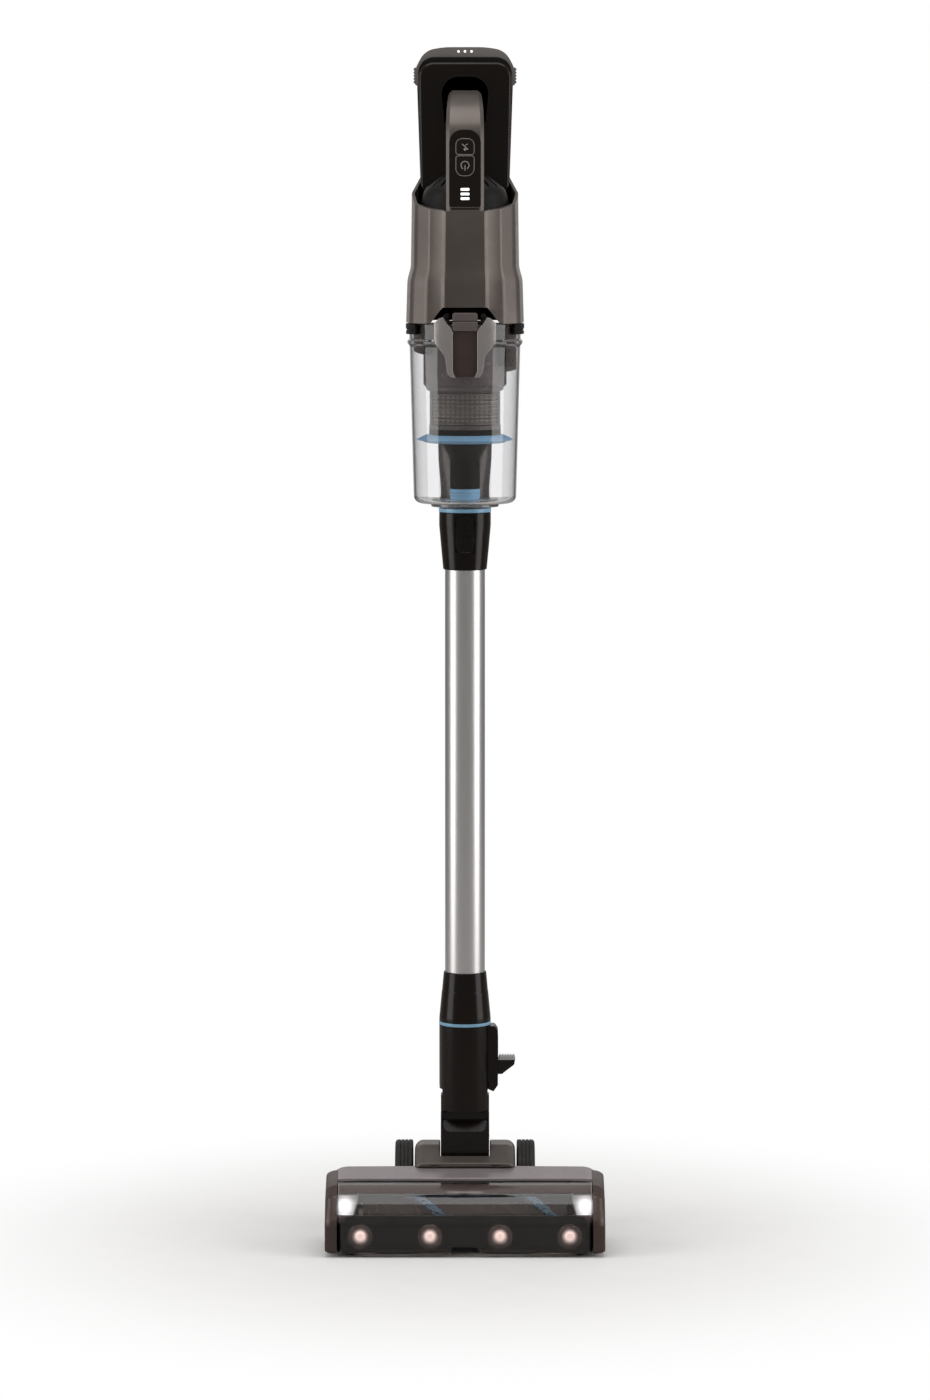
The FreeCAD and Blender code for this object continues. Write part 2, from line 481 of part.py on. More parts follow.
def cup():
    """Clear cup with a rolled upper bead, a rounded foot and the emptying hole."""
    w = CUP_WALL
    low, top = CUP_R_LOW, CUP_R_TOP
    shell = turned([(DOOR_HOLE_R, CUP_BOTTOM), (low - 0.3, CUP_BOTTOM, 6), (low + 3.9, 845.6, 1), (53.0, 846.4, 0.8),
                    (53.0, 849.8, 0.8), (top, 850.4), (top, CUP_TOP), (top - w, CUP_TOP), (top - w, 846),
                    (low - w - 0.2, CUP_BOTTOM + w, 4), (DOOR_HOLE_R, CUP_BOTTOM + w)], CUP_Y)
    port = prism([(-14, 840, 4), (14, 840, 4), (14, 862, 4), (-14, 862, 4)], "xz", -40, -10)
    ear = block(9.4, 12.4, HINGE_Y - 2.4, HINGE_Y + 2.4, HINGE_Z - 2.0, CUP_BOTTOM + 0.6)
    bar = rod_x(HINGE_PIN_R, -10, 10, HINGE_Y, HINGE_Z)
    keep("dust_cup", joined(shell.cut(port), *both_sides(ear), bar))
    lugs = turned([(CUP_R_TOP + 0.05, 855.6), (54.4, 855.6), (54.4, 858.6), (53.6, 859.2), (54.6, 861.8),
                   (54.6, 865.2), (CUP_R_TOP + 0.05, 865.2)], CUP_Y)
    wedge = prism([(0, CUP_Y), (60, CUP_Y - 40), (60, CUP_Y + 40)], "xy", 850, 870)
    lug = lugs.common(wedge)
    keep("cup_grips", *both_sides(lug))


def door():
    """Clear emptying door, snapped round the cup's hinge bar behind and with a lip in front."""
    disc = turned([(0, 696.6), (DOOR_R - 0.6, 696.6, 0.6), (DOOR_R, 699.6), (0, 699.6)], CUP_Y)
    knuckle_part = rod_x(2.2, -9, 9, HINGE_Y, HINGE_Z).fuse(
        block(-9, 9, CUP_Y + 24, HINGE_Y, HINGE_Z - 1, HINGE_Z + 1.4))
    lip = block(-5, 5, CUP_Y - DOOR_R - 2.4, CUP_Y - DOOR_R + 3, 697.2, 699.6)
    whole = joined(disc, knuckle_part, lip)
    keep("cup_door", whole.cut(rod_x(HINGE_PIN_R + RUN, -10, 10, HINGE_Y, HINGE_Z)))


def cyclone():
    """Cyclone body, inlet ramp, steel mesh, wiper skirt, fine-dust tube and its seal."""
    keep("cyclone_body", turned([(CYCLONE_R - 2.4, CUP_TOP - 0.4), (CYCLONE_R, CUP_TOP - 0.4), (CYCLONE_R, 808.4, 3),
                                 (35.6, 806.6), (35.0, 803.6), (MESH_R - 3, 803.6), (MESH_R - 3, 808.6),
                                 (CYCLONE_R - 2.4, 808.6)], CUP_Y))
    turns = 0.62
    drop = 24.0
    radius = (CYCLONE_R + 47.8) / 2
    path = Part.makeHelix(drop / turns, drop, radius)
    half = (47.6 - CYCLONE_R - 0.15) / 2
    blade = Part.Wire(Part.makePolygon([V(radius - half, 0, 0), V(radius + half, 0, 0), V(radius + half, 0, 60),
                                        V(radius - half, 0, 60), V(radius - half, 0, 0)]).Edges)
    ramp = Part.Wire(path.Edges).makePipeShell([blade], True, True)
    ramp.rotate(V(0, 0, 0), V(0, 0, 1), -22)
    ramp = ramp.mirror(V(0, 0, 0), V(0, 1, 0))
    ramp.translate(V(0, CUP_Y, 821.0))
    ramp = ramp.cut(block(-70, 70, CUP_Y - 70, CUP_Y + 70, CUP_TOP - 0.4, 960))
    keep("cyclone_ramp", ramp)
    keep("mesh_filter", ring(MESH_R, MESH_R - 1.6, 768.2, 803.5, CUP_Y))
    keep("wiper_skirt", turned([(20.1, 755.4), (37.4, 755.4, 1.5), (SKIRT_R, 758.0), (SKIRT_R, 759.4),
                                (37.4, 763.0, 1.5), (20.1, 763.0)], CUP_Y))
    keep("fine_dust_tube", turned([(FINE_R - 2, 713.2), (FINE_R, 713.2), (FINE_R, 742, 4), (21.7, 755.3), (20.0, 755.3),
                                   (20.0, 763.1), (33.0, 763.1), (33.0, 768.1), (27, 768.1), (18, 764),
                                   (18, 755.3), (FINE_R - 2, 743)], CUP_Y))
    grooves = []
    for z in (703.2, 707.2, 711.0):
        grooves += [(FINE_R, z - 0.6), (FINE_R - 0.7, z), (FINE_R, z + 0.6)]
    keep("tube_seal", turned([(0, 700.2), (FINE_R - 0.8, 700.2), *grooves, (FINE_R, 713.1), (0, 713.1)], CUP_Y))
    keep("pre_motor_filter", turned([(10, 811), (29, 811, 2), (33.5, 822, 2), (33.5, 862), (10, 862)], CUP_Y))


def cup_latch():
    """Shield-shaped release frame on the front of the cup and its button."""
    half = [(-11.0, 872.4), (-20.5, 872.4), (-29.0, 866.2), (-28.6, 848.8), (-18.3, 836.6), (-15.6, 820.4),
            (-12.6, 817.2)]
    shield = prism(half + [(-x, z) for x, z in reversed(half)], "xz", -140, -100)
    shield = shield.common(ring(57.6, CUP_R_TOP + 0.1, 800, 900, CUP_Y))
    channel = prism([(-11.2, 821, 3), (11.2, 821, 3), (11.6, 858.4), (-11.6, 858.4)], "xz", -140, -126.9)
    seat = prism([(-12.3, 858.9), (12.3, 858.9), (12.3, 880), (-12.3, 880)], "xz", -140, -124.8)
    shield = shield.cut(channel).cut(seat)
    bead = turned([(50, 840), (CUP_R_TOP + 0.15, 840), (53.1, 846.2), (53.1, 850.0), (CUP_R_TOP + 0.15, 850.6),
                   (50, 850.6)], CUP_Y)
    keep("cup_latch_frame", shield.cut(bead))
    button = prism([(-11.9, 859.3, 1), (11.9, 859.3, 1), (11.9, 876.2, 2), (-11.9, 876.2, 2)], "xz", -132, -126.8)
    button = button.common(ring(58.2, 40, 850, 890, CUP_Y)).cut(block(-13, 13, -140, -129.6, 868.4, 870.0))
    keep("cup_latch_button", button)


# ---------------------------------------------------------------- hand unit
BODY_LEVELS = ((BODY_BOTTOM, 54.5, 18.6, -129.2), (902.0, 53.2, 18.0, -128.0), (921.0, 50.0, 17.8, -127.0),
               (1012.0, 48.6, 17.2, -124.0))


def body_section(z, half, strip, front, inset=0.0):
    """Plan of the motor housing: flat front strip, bevels, side lobes and a squarer back."""
    w, back = half - inset, BODY_BACK - inset
    s, f = strip - inset * 0.4, front + inset
    side = [(s, f), (s + 4.2, f + 4.6), (0.71 * w, f + 15.0, 9), (w, -84.0, 22), (w, -62.0, 40),
            (0.80 * w, back - 12, 12), (0.62 * w, back, 9)]
    return outline(side + [(-u, v, *r) for u, v, *r in reversed(side)], "xy", z)


def body_solid(inset, bottom=BODY_BOTTOM):
    """The housing's outer form moved inwards by inset, with its lowest section at height bottom."""
    wires = []
    for z, half, strip, front in BODY_LEVELS:
        wires.append(body_section(bottom if z == BODY_BOTTOM else z, half, strip, front, inset))
    return Part.makeLoft(wires, True, True)


def rim_z(y):
    """Height of the housing's slanted upper rim at depth y."""
    return RIM_FRONT_Z + RIM_SLOPE * (y - RIM_FRONT_Y)


def motor_housing():
    """Grey outer housing: slanted rim, flared skirt, notch for the cup's latch, bulkhead and charging socket."""
    outer = body_solid(0.0)
    above = prism([(-160, rim_z(-160)), (60, rim_z(60)), (60, 1100), (-160, 1100)], "yz", -80, 80)
    outer = outer.cut(above)
    shell = outer.cut(body_solid(BODY_WALL, BODY_BOTTOM - 1))
    floor = body_solid(0.5).common(block(-80, 80, -140, 60, BODY_BOTTOM + 3, BODY_BOTTOM + 6))
    floor = floor.cut(upright(26, 860, 880, CUP_Y)).common(block(-80, 80, -115, 60, 800, 900))
    shroud = ring(32.8, 30.6, BODY_BOTTOM + 3, 946, CUP_Y)
    boss = rod_y(5.6, BODY_BACK - PORT_DEPTH - 1.5, BODY_BACK - 1, 0, PORT_Z)
    shell = joined(shell, floor, shroud, boss)
    notch = prism([(-33, BODY_BOTTOM - 1), (-31.0, 867.0), (-20, 880.8, 2), (20, 880.8, 2), (31.0, 867.0),
                   (33, BODY_BOTTOM - 1)], "xz", -140, -113)
    shell = shell.cut(notch).cut(grip_solid(0.0))
    shell = shell.cut(rod_y(PORT_R, BODY_BACK - PORT_DEPTH, BODY_BACK + 1, 0, PORT_Z))
    keep("motor_housing", shell)


GRIP_LEAN = 6.0
GRIP_FRONT = (-122.2, 985.0)    # a point of the grip's front face, which leans back by GRIP_LEAN
GRIP_THICK = 30.0


def grip_station(z, lean=GRIP_LEAN):
    """Centre of the straight part of the grip behind height z of its front face."""
    a = math.radians(GRIP_LEAN)
    y = GRIP_FRONT[0] + (z - GRIP_FRONT[1]) * math.tan(a)
    return (y + GRIP_THICK / 2 * math.cos(a), z - GRIP_THICK / 2 * math.sin(a), lean, 34.6, GRIP_THICK)


GRIP_STRAIGHT = (grip_station(946), grip_station(1036))
GRIP_BEND = (grip_station(1036), (-98.4, 1045.4, 20, 34.2, 29.6), (-89.6, 1054.4, 42, 33.0, 28.6),
             (-76.0, 1061.0, 64, 31.4, 27.6), (-60.0, 1064.2, 80, 30.8, 27.0),
             (DOCK_FRONT - 8, 1065.2, 87, 31.0, 26.6), (DOCK_FRONT + 1, 1065.4, 90, 34.0, 27.0))


def handle_section(y, z, lean, across, thick, grow=0.0):
    """Rounded section of the grip, square to its spine, which leans back by lean degrees."""
    a, t = across / 2 + grow, thick / 2 + grow
    wire = outline([(-a + 4, -t, 3), (a - 4, -t, 3), (a, -t + 6, 4), (a - 1, t, 10), (-a + 1, t, 10),
                    (-a, -t + 6, 4)], "xy", 0)
    wire.rotate(V(0, 0, 0), V(1, 0, 0), -lean)
    wire.translate(V(0, y, z))
    return wire


def grip_solid(grow=0.0):
    """The grip's straight leaned part with the bend that carries it back into the dock."""
    straight = Part.makeLoft([handle_section(*s, grow) for s in GRIP_STRAIGHT], True, True)
    bend = Part.makeLoft([handle_section(*s, grow) for s in GRIP_BEND], True, False)
    return joined(straight, bend)


def leaned(shape):
    """Tips a piece drawn upright at the grip's front face back to lie along it."""
    shape.rotate(V(0, *GRIP_FRONT), V(1, 0, 0), -GRIP_LEAN)
    return shape


def key(z0, z1, low_round, high_round, grow=0.0, front=-123.6, back=-120.4):
    x = 7.8 + grow
    return prism([(-x, z0 - grow, low_round), (x, z0 - grow, low_round), (x, z1 + grow, high_round),
                  (-x, z1 + grow, high_round)], "xz", front, back)


def handle():
    """Grip, gloss control panel, its two keys and three charge bars."""
    grip = grip_solid()
    panel_room = leaned(prism([(-14.6, 971.5, 2), (14.6, 971.5, 2), (14.6, 1042, 12), (-14.6, 1042, 12)], "xz",
                              -130, -119.4))
    panel = leaned(prism([(-14.45, 971.7, 2), (14.45, 971.7, 2), (14.45, 1041.8, 12), (-14.45, 1041.8, 12)], "xz",
                         -122.5, -119.5))
    power, mode = (1000.4, 1017.6, 6.5, 2.2), (1019.8, 1033.2, 2.2, 5.5)
    for span in (power, mode):
        panel = panel.cut(leaned(key(*span, 0.25, -130, -100)))
        panel_room = panel_room.fuse(leaned(key(*span, 0.6, -125, -117.6)))
    bars = [leaned(prism([(-4, z, 0.8), (4, z, 0.8), (4, z + 2.4, 0.8), (-4, z + 2.4, 0.8)], "xz", -122.75, -121.6))
            for z in (978.0, 982.2, 986.4)]
    for bar in bars:
        panel = panel.cut(bar)
    keep("charge_bars", *bars)
    keep("control_panel", panel)
    keep("power_button", leaned(key(*power)))
    keep("mode_button", leaned(key(*mode)))
    keep("handle_grip", grip.cut(panel_room).common(block(-40, 40, -140, DOCK_FRONT - 0.1, 955.5, 1100)))


def motor_cap():
    """Dark domed end of the motor bay inside the housing's rim, with radial exhaust slots."""
    dome = turned([(0, 957), (43.6, 957), (43.6, 966, 6), (37, 988, 14), (20, 1001.5, 20), (0, 1003.2)], -74)
    dome = dome.cut(turned([(0, 950), (41.4, 950), (41.4, 964, 5), (35, 985, 12), (19, 998.6, 16), (0, 1000.4)], -74))
    deck = body_solid(BODY_WALL + 0.25).common(block(-60, 60, -140, DOCK_FRONT - 0.4, 954, 957.5))
    deck = deck.cut(upright(40, 950, 960, -74))
    dome = dome.fuse(deck).cut(grip_solid(0.3)).cut(block(-60, 60, DOCK_FRONT - 0.4, 0, 940, 1010))
    for i in range(9):
        slot = block(-1.2, 1.2, 18, 34, 960, 1010)
        slot.rotate(V(0, 0, 0), V(0, 0, 1), -80 + 20 * i + 180)
        if abs(-80 + 20 * i) < 35:
            continue
        slot.translate(V(0, -74, 0))
        dome = dome.cut(slot)
    keep("motor_cap", dome)


def motor():
    """Suction motor, impeller and the exhaust filter round them."""
    can = turned([(0, 906), (30.5, 906), (30.5, 910), (27, 910), (27, 944, 4), (12, 948), (12, 953), (0, 953)], CUP_Y)
    keep("suction_motor", can.fuse(upright(3.0 - RUN, 877, 906.5, CUP_Y)).removeSplitter())
    fan = upright(8, 876, 904, CUP_Y).fuse(ring(30, 6, 876, 878, CUP_Y))
    for i in range(9):
        blade = block(7, 29.5, -0.8, 0.8, 877.5, 889)
        blade.rotate(V(20, 0, 0), V(0, 0, 1), 28)
        blade.rotate(V(0, 0, 0), V(0, 0, 1), 40 * i)
        blade.translate(V(0, CUP_Y, 0))
        fan = fan.fuse(blade.common(ring(30, 4, 870, 900, CUP_Y)))
    keep("impeller", fan.cut(upright(3, 870, 910, CUP_Y)).removeSplitter())
    keep("exhaust_filter", ring(40, 33, 908, 944, CUP_Y))


def dock():
    """Battery dock: front plate with the grip's socket boss, and the cradle that the pack slides into."""
    plate = prism([(-40.6, 968), (-43.0, DOCK_TOP, 14), (43.0, DOCK_TOP, 14), (40.6, 968)], "xz", DOCK_FRONT, -29)
    plate = soften(plate, 3.0, at_y(DOCK_FRONT))
    flange = prism([(-41.2, 1000), (-43.8, 1109.6, 16), (43.8, 1109.6, 16), (41.2, 1000)], "xz", -30, -27.6)
    cradle = prism([(-41.0, 985), (-44.4, PACK_SPLIT - 0.4), (44.4, PACK_SPLIT - 0.4), (41.0, 985)], "xz", -29,
                   DOCK_BACK)
    cradle = soften(cradle, 7.0, lambda e: at_y(DOCK_BACK)(e) and e.BoundBox.ZLength > 50)
    boss = prism([(-19.5, 1047, 5), (19.5, 1047, 5), (24.5, 1093, 16), (-24.5, 1093, 16)], "xz", DOCK_FRONT - 5,
                 DOCK_FRONT + 1)
    above = joined(plate, flange, cradle, boss)
    above = above.cut(prism([(-160, 900), (-160, rim_z(-160) + 0.5), (60, rim_z(60) + 0.5), (60, 900)], "yz", -80, 80))
    foot = body_solid(BODY_WALL + 0.3).common(block(-60, 60, DOCK_FRONT, DOCK_BACK, 962, 1009))
    foot = foot.common(prism([(-40.6, 960), (-41.2, 1010), (41.2, 1010), (40.6, 960)], "xz", -60, 60))
    pocket = block(-38.4, 38.4, -25.5, 21.5, 1006, 1130)
    keep("battery_dock", joined(above, foot).cut(pocket).cut(block(-28, 28, -26, 12, 965, 1003)).cut(grip_solid()))


def pack():
    """Battery pack: lower block inside the cradle, wider cap above it and a release button on each side."""
    low = prism([(-38.1, 1006.4, 3), (-38.1, PACK_SPLIT + 2), (38.1, PACK_SPLIT + 2), (38.1, 1006.4, 3)], "xz", -25.2, 21.2)
    cap = prism([(-PACK_HALF, PACK_SPLIT), (-PACK_HALF, 1100, 20), (-38, 1115.8, 22), (-20, PACK_TOP, 60),
                 (20, PACK_TOP, 60), (38, 1115.8, 22), (PACK_HALF, 1100, 20), (PACK_HALF, PACK_SPLIT)], "xz", -27.3, DOCK_BACK)
    cap = soften(cap, 2.2, lambda e: at_y(-27.3)(e) and e.BoundBox.ZMax > PACK_SPLIT + 0.5)
    cap = soften(cap, 5.0, lambda e: at_y(DOCK_BACK)(e) and e.BoundBox.ZMax > PACK_SPLIT + 0.5)
    shape = joined(low, cap)
    room = block(PACK_HALF - 4.4, PACK_HALF + 2, -12.2, 12.2, 1085.2, 1100.6)
    shape = shape.cut(room).cut(mirrored(room))
    keep("battery_pack", shape)
    button = block(PACK_HALF - 2.2, PACK_HALF + 0.5, -12, 12, 1085.4, 1100.4)
    for i in range(5):
        z = 1087.0 + 2.95 * i
        button = button.fuse(prism([(PACK_HALF, z - 0.9), (PACK_HALF + 1.3, z - 0.3), (PACK_HALF + 1.3, z + 0.3),
                                    (PACK_HALF, z + 0.9)], "xz", -11.5, 11.5))
    button = button.removeSplitter()
    keep("pack_button_right", button)
    keep("pack_button_left", mirrored(button))


# ---------------------------------------------------------------- build
STEPS = (window, bumper, cover, side_caps, base, screws, lights, yoke, axles, wheels, brush, knuckle, swivel, pedal,
         wand, intake_duct, cup, door, cyclone, cup_latch, motor_housing, handle, motor_cap, motor, dock, pack)


def main():
    os.makedirs("parts", exist_ok=True)
    for old in os.listdir("parts"):
        os.remove(os.path.join("parts", old))
    for step in STEPS:
        step()
    for name, shape in sorted(PIECES.items()):
        shape.translate(V(0, WAND_Y, 0))
        solids = shape.Solids
        state = "" if shape.isValid() and solids and all(s.Volume > 0 for s in solids) else "  <-- not a valid solid"
        print(f"{name:20s} {len(solids):2d} solid(s) {shape.Volume / 1000:9.2f} cm3{state}")
        Part.makeCompound(solids).exportStep(os.path.join("parts", name + ".step"))
    whole = Part.makeCompound(list(PIECES.values())).BoundBox
    print(f"{len(PIECES)} pieces, box x {whole.XMin:.2f} {whole.XMax:.2f}  y {whole.YMin:.2f} {whole.YMax:.2f}"
          f"  z {whole.ZMin:.2f} {whole.ZMax:.2f}")


main()
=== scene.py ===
# %% [markdown]
# # A cordless stick vacuum cleaner, built round its engineering model
# The engineering model is a fixed frame: it says where each part is and what moves with what. This lesson
# adds what the eye sees. Each visible part is modelled again as a clean mesh with rounded edges, gets a
# finish that stands for the real material, and rides on the body that carries it.

import math
import random

import bmesh
import bpy
from mathutils import Matrix, Vector


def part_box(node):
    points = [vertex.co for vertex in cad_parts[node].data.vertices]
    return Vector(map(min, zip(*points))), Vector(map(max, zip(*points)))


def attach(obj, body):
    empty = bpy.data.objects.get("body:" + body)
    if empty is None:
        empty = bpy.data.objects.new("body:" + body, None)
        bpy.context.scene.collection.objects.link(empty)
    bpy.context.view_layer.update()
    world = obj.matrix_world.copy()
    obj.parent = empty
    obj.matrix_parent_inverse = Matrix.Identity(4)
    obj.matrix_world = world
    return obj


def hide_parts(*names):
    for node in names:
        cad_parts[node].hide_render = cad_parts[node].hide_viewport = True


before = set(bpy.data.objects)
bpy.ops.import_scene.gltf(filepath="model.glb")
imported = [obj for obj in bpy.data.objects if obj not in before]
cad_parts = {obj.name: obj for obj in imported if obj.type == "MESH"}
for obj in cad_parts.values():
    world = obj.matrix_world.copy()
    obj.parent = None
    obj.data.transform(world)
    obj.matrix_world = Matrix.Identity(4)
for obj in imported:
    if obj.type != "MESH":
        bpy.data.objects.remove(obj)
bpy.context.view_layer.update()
scene = bpy.context.scene

# %% [markdown]
# The parts are drawn in millimetres about the upright axis of the wand, because nearly everything is round
# or symmetric about it. One matrix then turns those millimetres into the frame's metres. The edges of any
# engineering part can be read back in the same millimetres.

# %% Units and the wand's axis
MM = 0.001
low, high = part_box("wand_tube")
AXIS_Y = (low.y + high.y) / 2
TO_FRAME = Matrix.Translation((0, AXIS_Y, 0)) @ Matrix.Scale(MM, 4)


def edges(node_name):
    """Lowest and highest corner of an engineering part, in millimetres about the wand's axis."""
    low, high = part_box(node_name)
    return ((low - Vector((0, AXIS_Y, 0))) / MM, (high - Vector((0, AXIS_Y, 0))) / MM)


CUP_Y = sum(corner.y for corner in edges("cyclone_body")) / 2
BRUSH_Y, BRUSH_Z = (sum(corner[k] for corner in edges("brush_core")) / 2 for k in (1, 2))
AXLE_Y, AXLE_Z = (sum(corner[k] for corner in edges("tyre_left")) / 2 for k in (1, 2))
print(f"cup axis {CUP_Y:.1f} mm in front of the wand, brush {BRUSH_Y:.1f}, {BRUSH_Z:.1f}, axle {AXLE_Y:.1f}, {AXLE_Z:.1f}")

# %% [markdown]
# Colours are written as the sRGB hex values that a paint chart would give. Blender's shaders work in linear
# light, so one function does the conversion and everything goes through it.

# %% Colour


def paint(code, alpha=1.0):
    """Linear RGBA of an sRGB hex value."""
    channels = [int(code[i:i + 2], 16) / 255 for i in (0, 2, 4)]
    return tuple(c / 12.92 if c <= 0.04045 else ((c + 0.055) / 1.055) ** 2.4 for c in channels) + (alpha,)


print("mid grey 808080 is", round(paint("808080")[0], 3), "in linear light")

# %% [markdown]
# Every material is a small network. One helper adds a node with its settings and links, so that a material
# reads as a list of what it is made of: a base colour that drifts a little, a roughness that isn't quite
# even, and a grain as fine as the mould, the brush or the weave left it.

# %% One way to add a node


def node(tree, kind, settings=(), links=()):
    """Adds a node. Settings name a property or an input with its value; links name an input and a source."""
    made = tree.nodes.new("ShaderNode" + kind)
    for key, value in dict(settings).items():
        if isinstance(key, str) and key not in made.inputs:
            setattr(made, key, value)
        else:
            made.inputs[key].default_value = value
    for key, source in dict(links).items():
        tree.links.new(source, made.inputs[key])
    return made


def new_material(name):
    """An empty node material with its output, and the object's own coordinates in metres."""
    made = bpy.data.materials.new(name)
    made.use_nodes = True
    made.node_tree.nodes.clear()
    tree = made.node_tree
    place = node(tree, "TexCoord").outputs["Object"]
    return made, tree, place


def colour_ramp(tree, amount, low, high):
    """A colour that runs from low to high as an amount goes from 0 to 1."""
    made = node(tree, "ValToRGB", links={"Fac": amount})
    made.color_ramp.elements[0].color, made.color_ramp.elements[1].color = low, high
    return made


def finish(tree, shader):
    """Sends a shader to the material's surface."""
    node(tree, "OutputMaterial", links={"Surface": shader.outputs[0]})


# %% [markdown]
# Moulded plastic is the base of most of this cleaner. The steel mould is spark-eroded or polished, which
# leaves a grain of a few tenths of a millimetre, and the melt cools unevenly, which leaves a slow drift in
# tone. The grain is drawn at its real size, and the drift over some centimetres. A painted or metal-filled
# plastic is the same network with some metallic and a flake pattern in its tone.

# %% Moulded plastic
GRAIN = 0.35          # mould grain, millimetres
DRIFT = 45.0          # how far apart light and dark patches of the melt lie, millimetres
FLAKE = 0.5           # aluminium flakes in the metallic grades, drawn coarse enough to show, millimetres
WEAR = 6.0            # size of the faintly polished patches left by handling, millimetres


def moulded(name, colour, roughness, metallic=0.0, relief=0.010, drift=0.10, coat=0.0, shine=0.5):
    made, tree, place = new_material(name)
    slow = node(tree, "TexNoise", {"Scale": 1 / (DRIFT * MM), "Detail": 3.0}, {"Vector": place})
    dark = tuple(c * (1 - drift) for c in paint(colour)[:3]) + (1.0,)
    light = tuple(min(1, c * (1 + drift)) for c in paint(colour)[:3]) + (1.0,)
    tone = colour_ramp(tree, slow.outputs["Fac"], dark, light)
    tone.color_ramp.elements[0].position, tone.color_ramp.elements[1].position = 0.3, 0.7
    shade = tone.outputs["Color"]
    if metallic > 0:
        flakes = node(tree, "TexVoronoi", {"Scale": 1 / (FLAKE * MM)}, {"Vector": place})
        sparkle = node(tree, "MapRange", {"To Min": 0.96, "To Max": 1.04}, {"Value": flakes.outputs["Color"]})
        shade = node(tree, "VectorMath", {"operation": "SCALE"},
                     {0: shade, "Scale": sparkle.outputs[0]}).outputs[0]
    handled = node(tree, "TexNoise", {"Scale": 1 / (WEAR * MM), "Detail": 4.0}, {"Vector": place})
    gloss = node(tree, "MapRange", {"From Min": 0.3, "From Max": 0.7, "To Min": roughness * 0.86,
                                    "To Max": roughness * 1.14}, {"Value": handled.outputs["Fac"]})
    grain = node(tree, "TexNoise", {"Scale": 1 / (GRAIN * MM), "Detail": 2.0}, {"Vector": place})
    relief_node = node(tree, "Bump", {"Strength": 0.35, "Distance": relief * MM},
                       {"Height": grain.outputs["Fac"]})
    shader = node(tree, "BsdfPrincipled", {"Metallic": metallic, "IOR": 1.5, "Coat Weight": coat,
                                           "Coat Roughness": 0.08, "Specular IOR Level": shine},
                  {"Base Color": shade, "Roughness": gloss.outputs[0], "Normal": relief_node.outputs[0]})
    finish(tree, shader)
    return made


GUNMETAL = moulded("metallic_gunmetal_abs", "625a55", 0.36, metallic=0.55, relief=0.004)
SILVER = moulded("metallic_silver_abs", "9a9192", 0.34, metallic=0.45, relief=0.003, drift=0.05)
BRIGHT = moulded("vacuum_metallised_abs", "c9c3c1", 0.20, metallic=0.90, drift=0.04)
BROWN = moulded("dark_bronze_abs", "4c3f3a", 0.32, metallic=0.35, relief=0.003, drift=0.06)
PIANO = moulded("piano_black_abs", "120b06", 0.20, relief=0.002, shine=0.25)
SATIN = moulded("satin_black_abs", "120c08", 0.28, relief=0.006, shine=0.28)
DEEP = moulded("textured_black_abs", "0d0a08", 0.48, relief=0.020, shine=0.2)
PACK_GREY = moulded("textured_grey_abs", "736f6c", 0.46, relief=0.020)
RIB_GREY = moulded("light_grey_abs", "a8a4a1", 0.42)
CYCLONE = moulded("warm_grey_abs", "6e6463", 0.25, metallic=0.3, relief=0.003, drift=0.06)
DUCT = moulded("dark_taupe_abs", "3a302b", 0.28, metallic=0.15, relief=0.004)
SOOT = moulded("near_black_abs", "140d09", 0.22, relief=0.004, shine=0.3)
BLUE = moulded("light_blue_abs", "86b2cf", 0.28, drift=0.05)
RUBBER = moulded("moulded_tyre_rubber", "1b1714", 0.62, relief=0.05, drift=0.15)
print(len(bpy.data.materials), "moulded finishes")

# %% [markdown]
# The wand is a drawn aluminium tube, anodised in its natural colour. Drawing it through a die leaves fine
# lines along its length, so the highlight spreads sideways: the noise is stretched along Z to stand for
# them. A metal keeps the shader's own index of refraction.

# %% Anodised aluminium
DRAW_LINE, DRAW_LENGTH = 0.5, 60.0        # width and length of a die line, millimetres
ALUMINIUM, tree, place = new_material("drawn_anodised_aluminium")
lines = node(tree, "Mapping", {"Scale": (1 / (DRAW_LINE * MM), 1 / (DRAW_LINE * MM), 1 / (DRAW_LENGTH * MM))},
             {"Vector": place})
streaks = node(tree, "TexNoise", {"Scale": 1.0, "Detail": 2.0}, {"Vector": lines.outputs[0]})
tone = node(tree, "MapRange", {"To Min": 0.27, "To Max": 0.37}, {"Value": streaks.outputs["Fac"]})
metal_tone = colour_ramp(tree, streaks.outputs["Fac"], paint("d5d3d2"), paint("e2e0e0"))
ridges = node(tree, "Bump", {"Strength": 0.2, "Distance": 0.004 * MM}, {"Height": streaks.outputs["Fac"]})
finish(tree, node(tree, "BsdfPrincipled", {"Metallic": 1.0},
                  {"Base Color": metal_tone.outputs["Color"], "Roughness": tone.outputs[0],
                   "Normal": ridges.outputs[0]}))

# %% [markdown]
# The dust cup and its door are clear polycarbonate, whose index is 1.58, with walls of real thickness, so
# its edges bend light as the real cup's do. The window and bumper of the head are the same plastic with a
# smoke dye. Handling leaves faint hazy patches, drawn as a slow change in roughness.

# %% Polycarbonate
HAZE = 18.0           # size of a hazy patch, millimetres


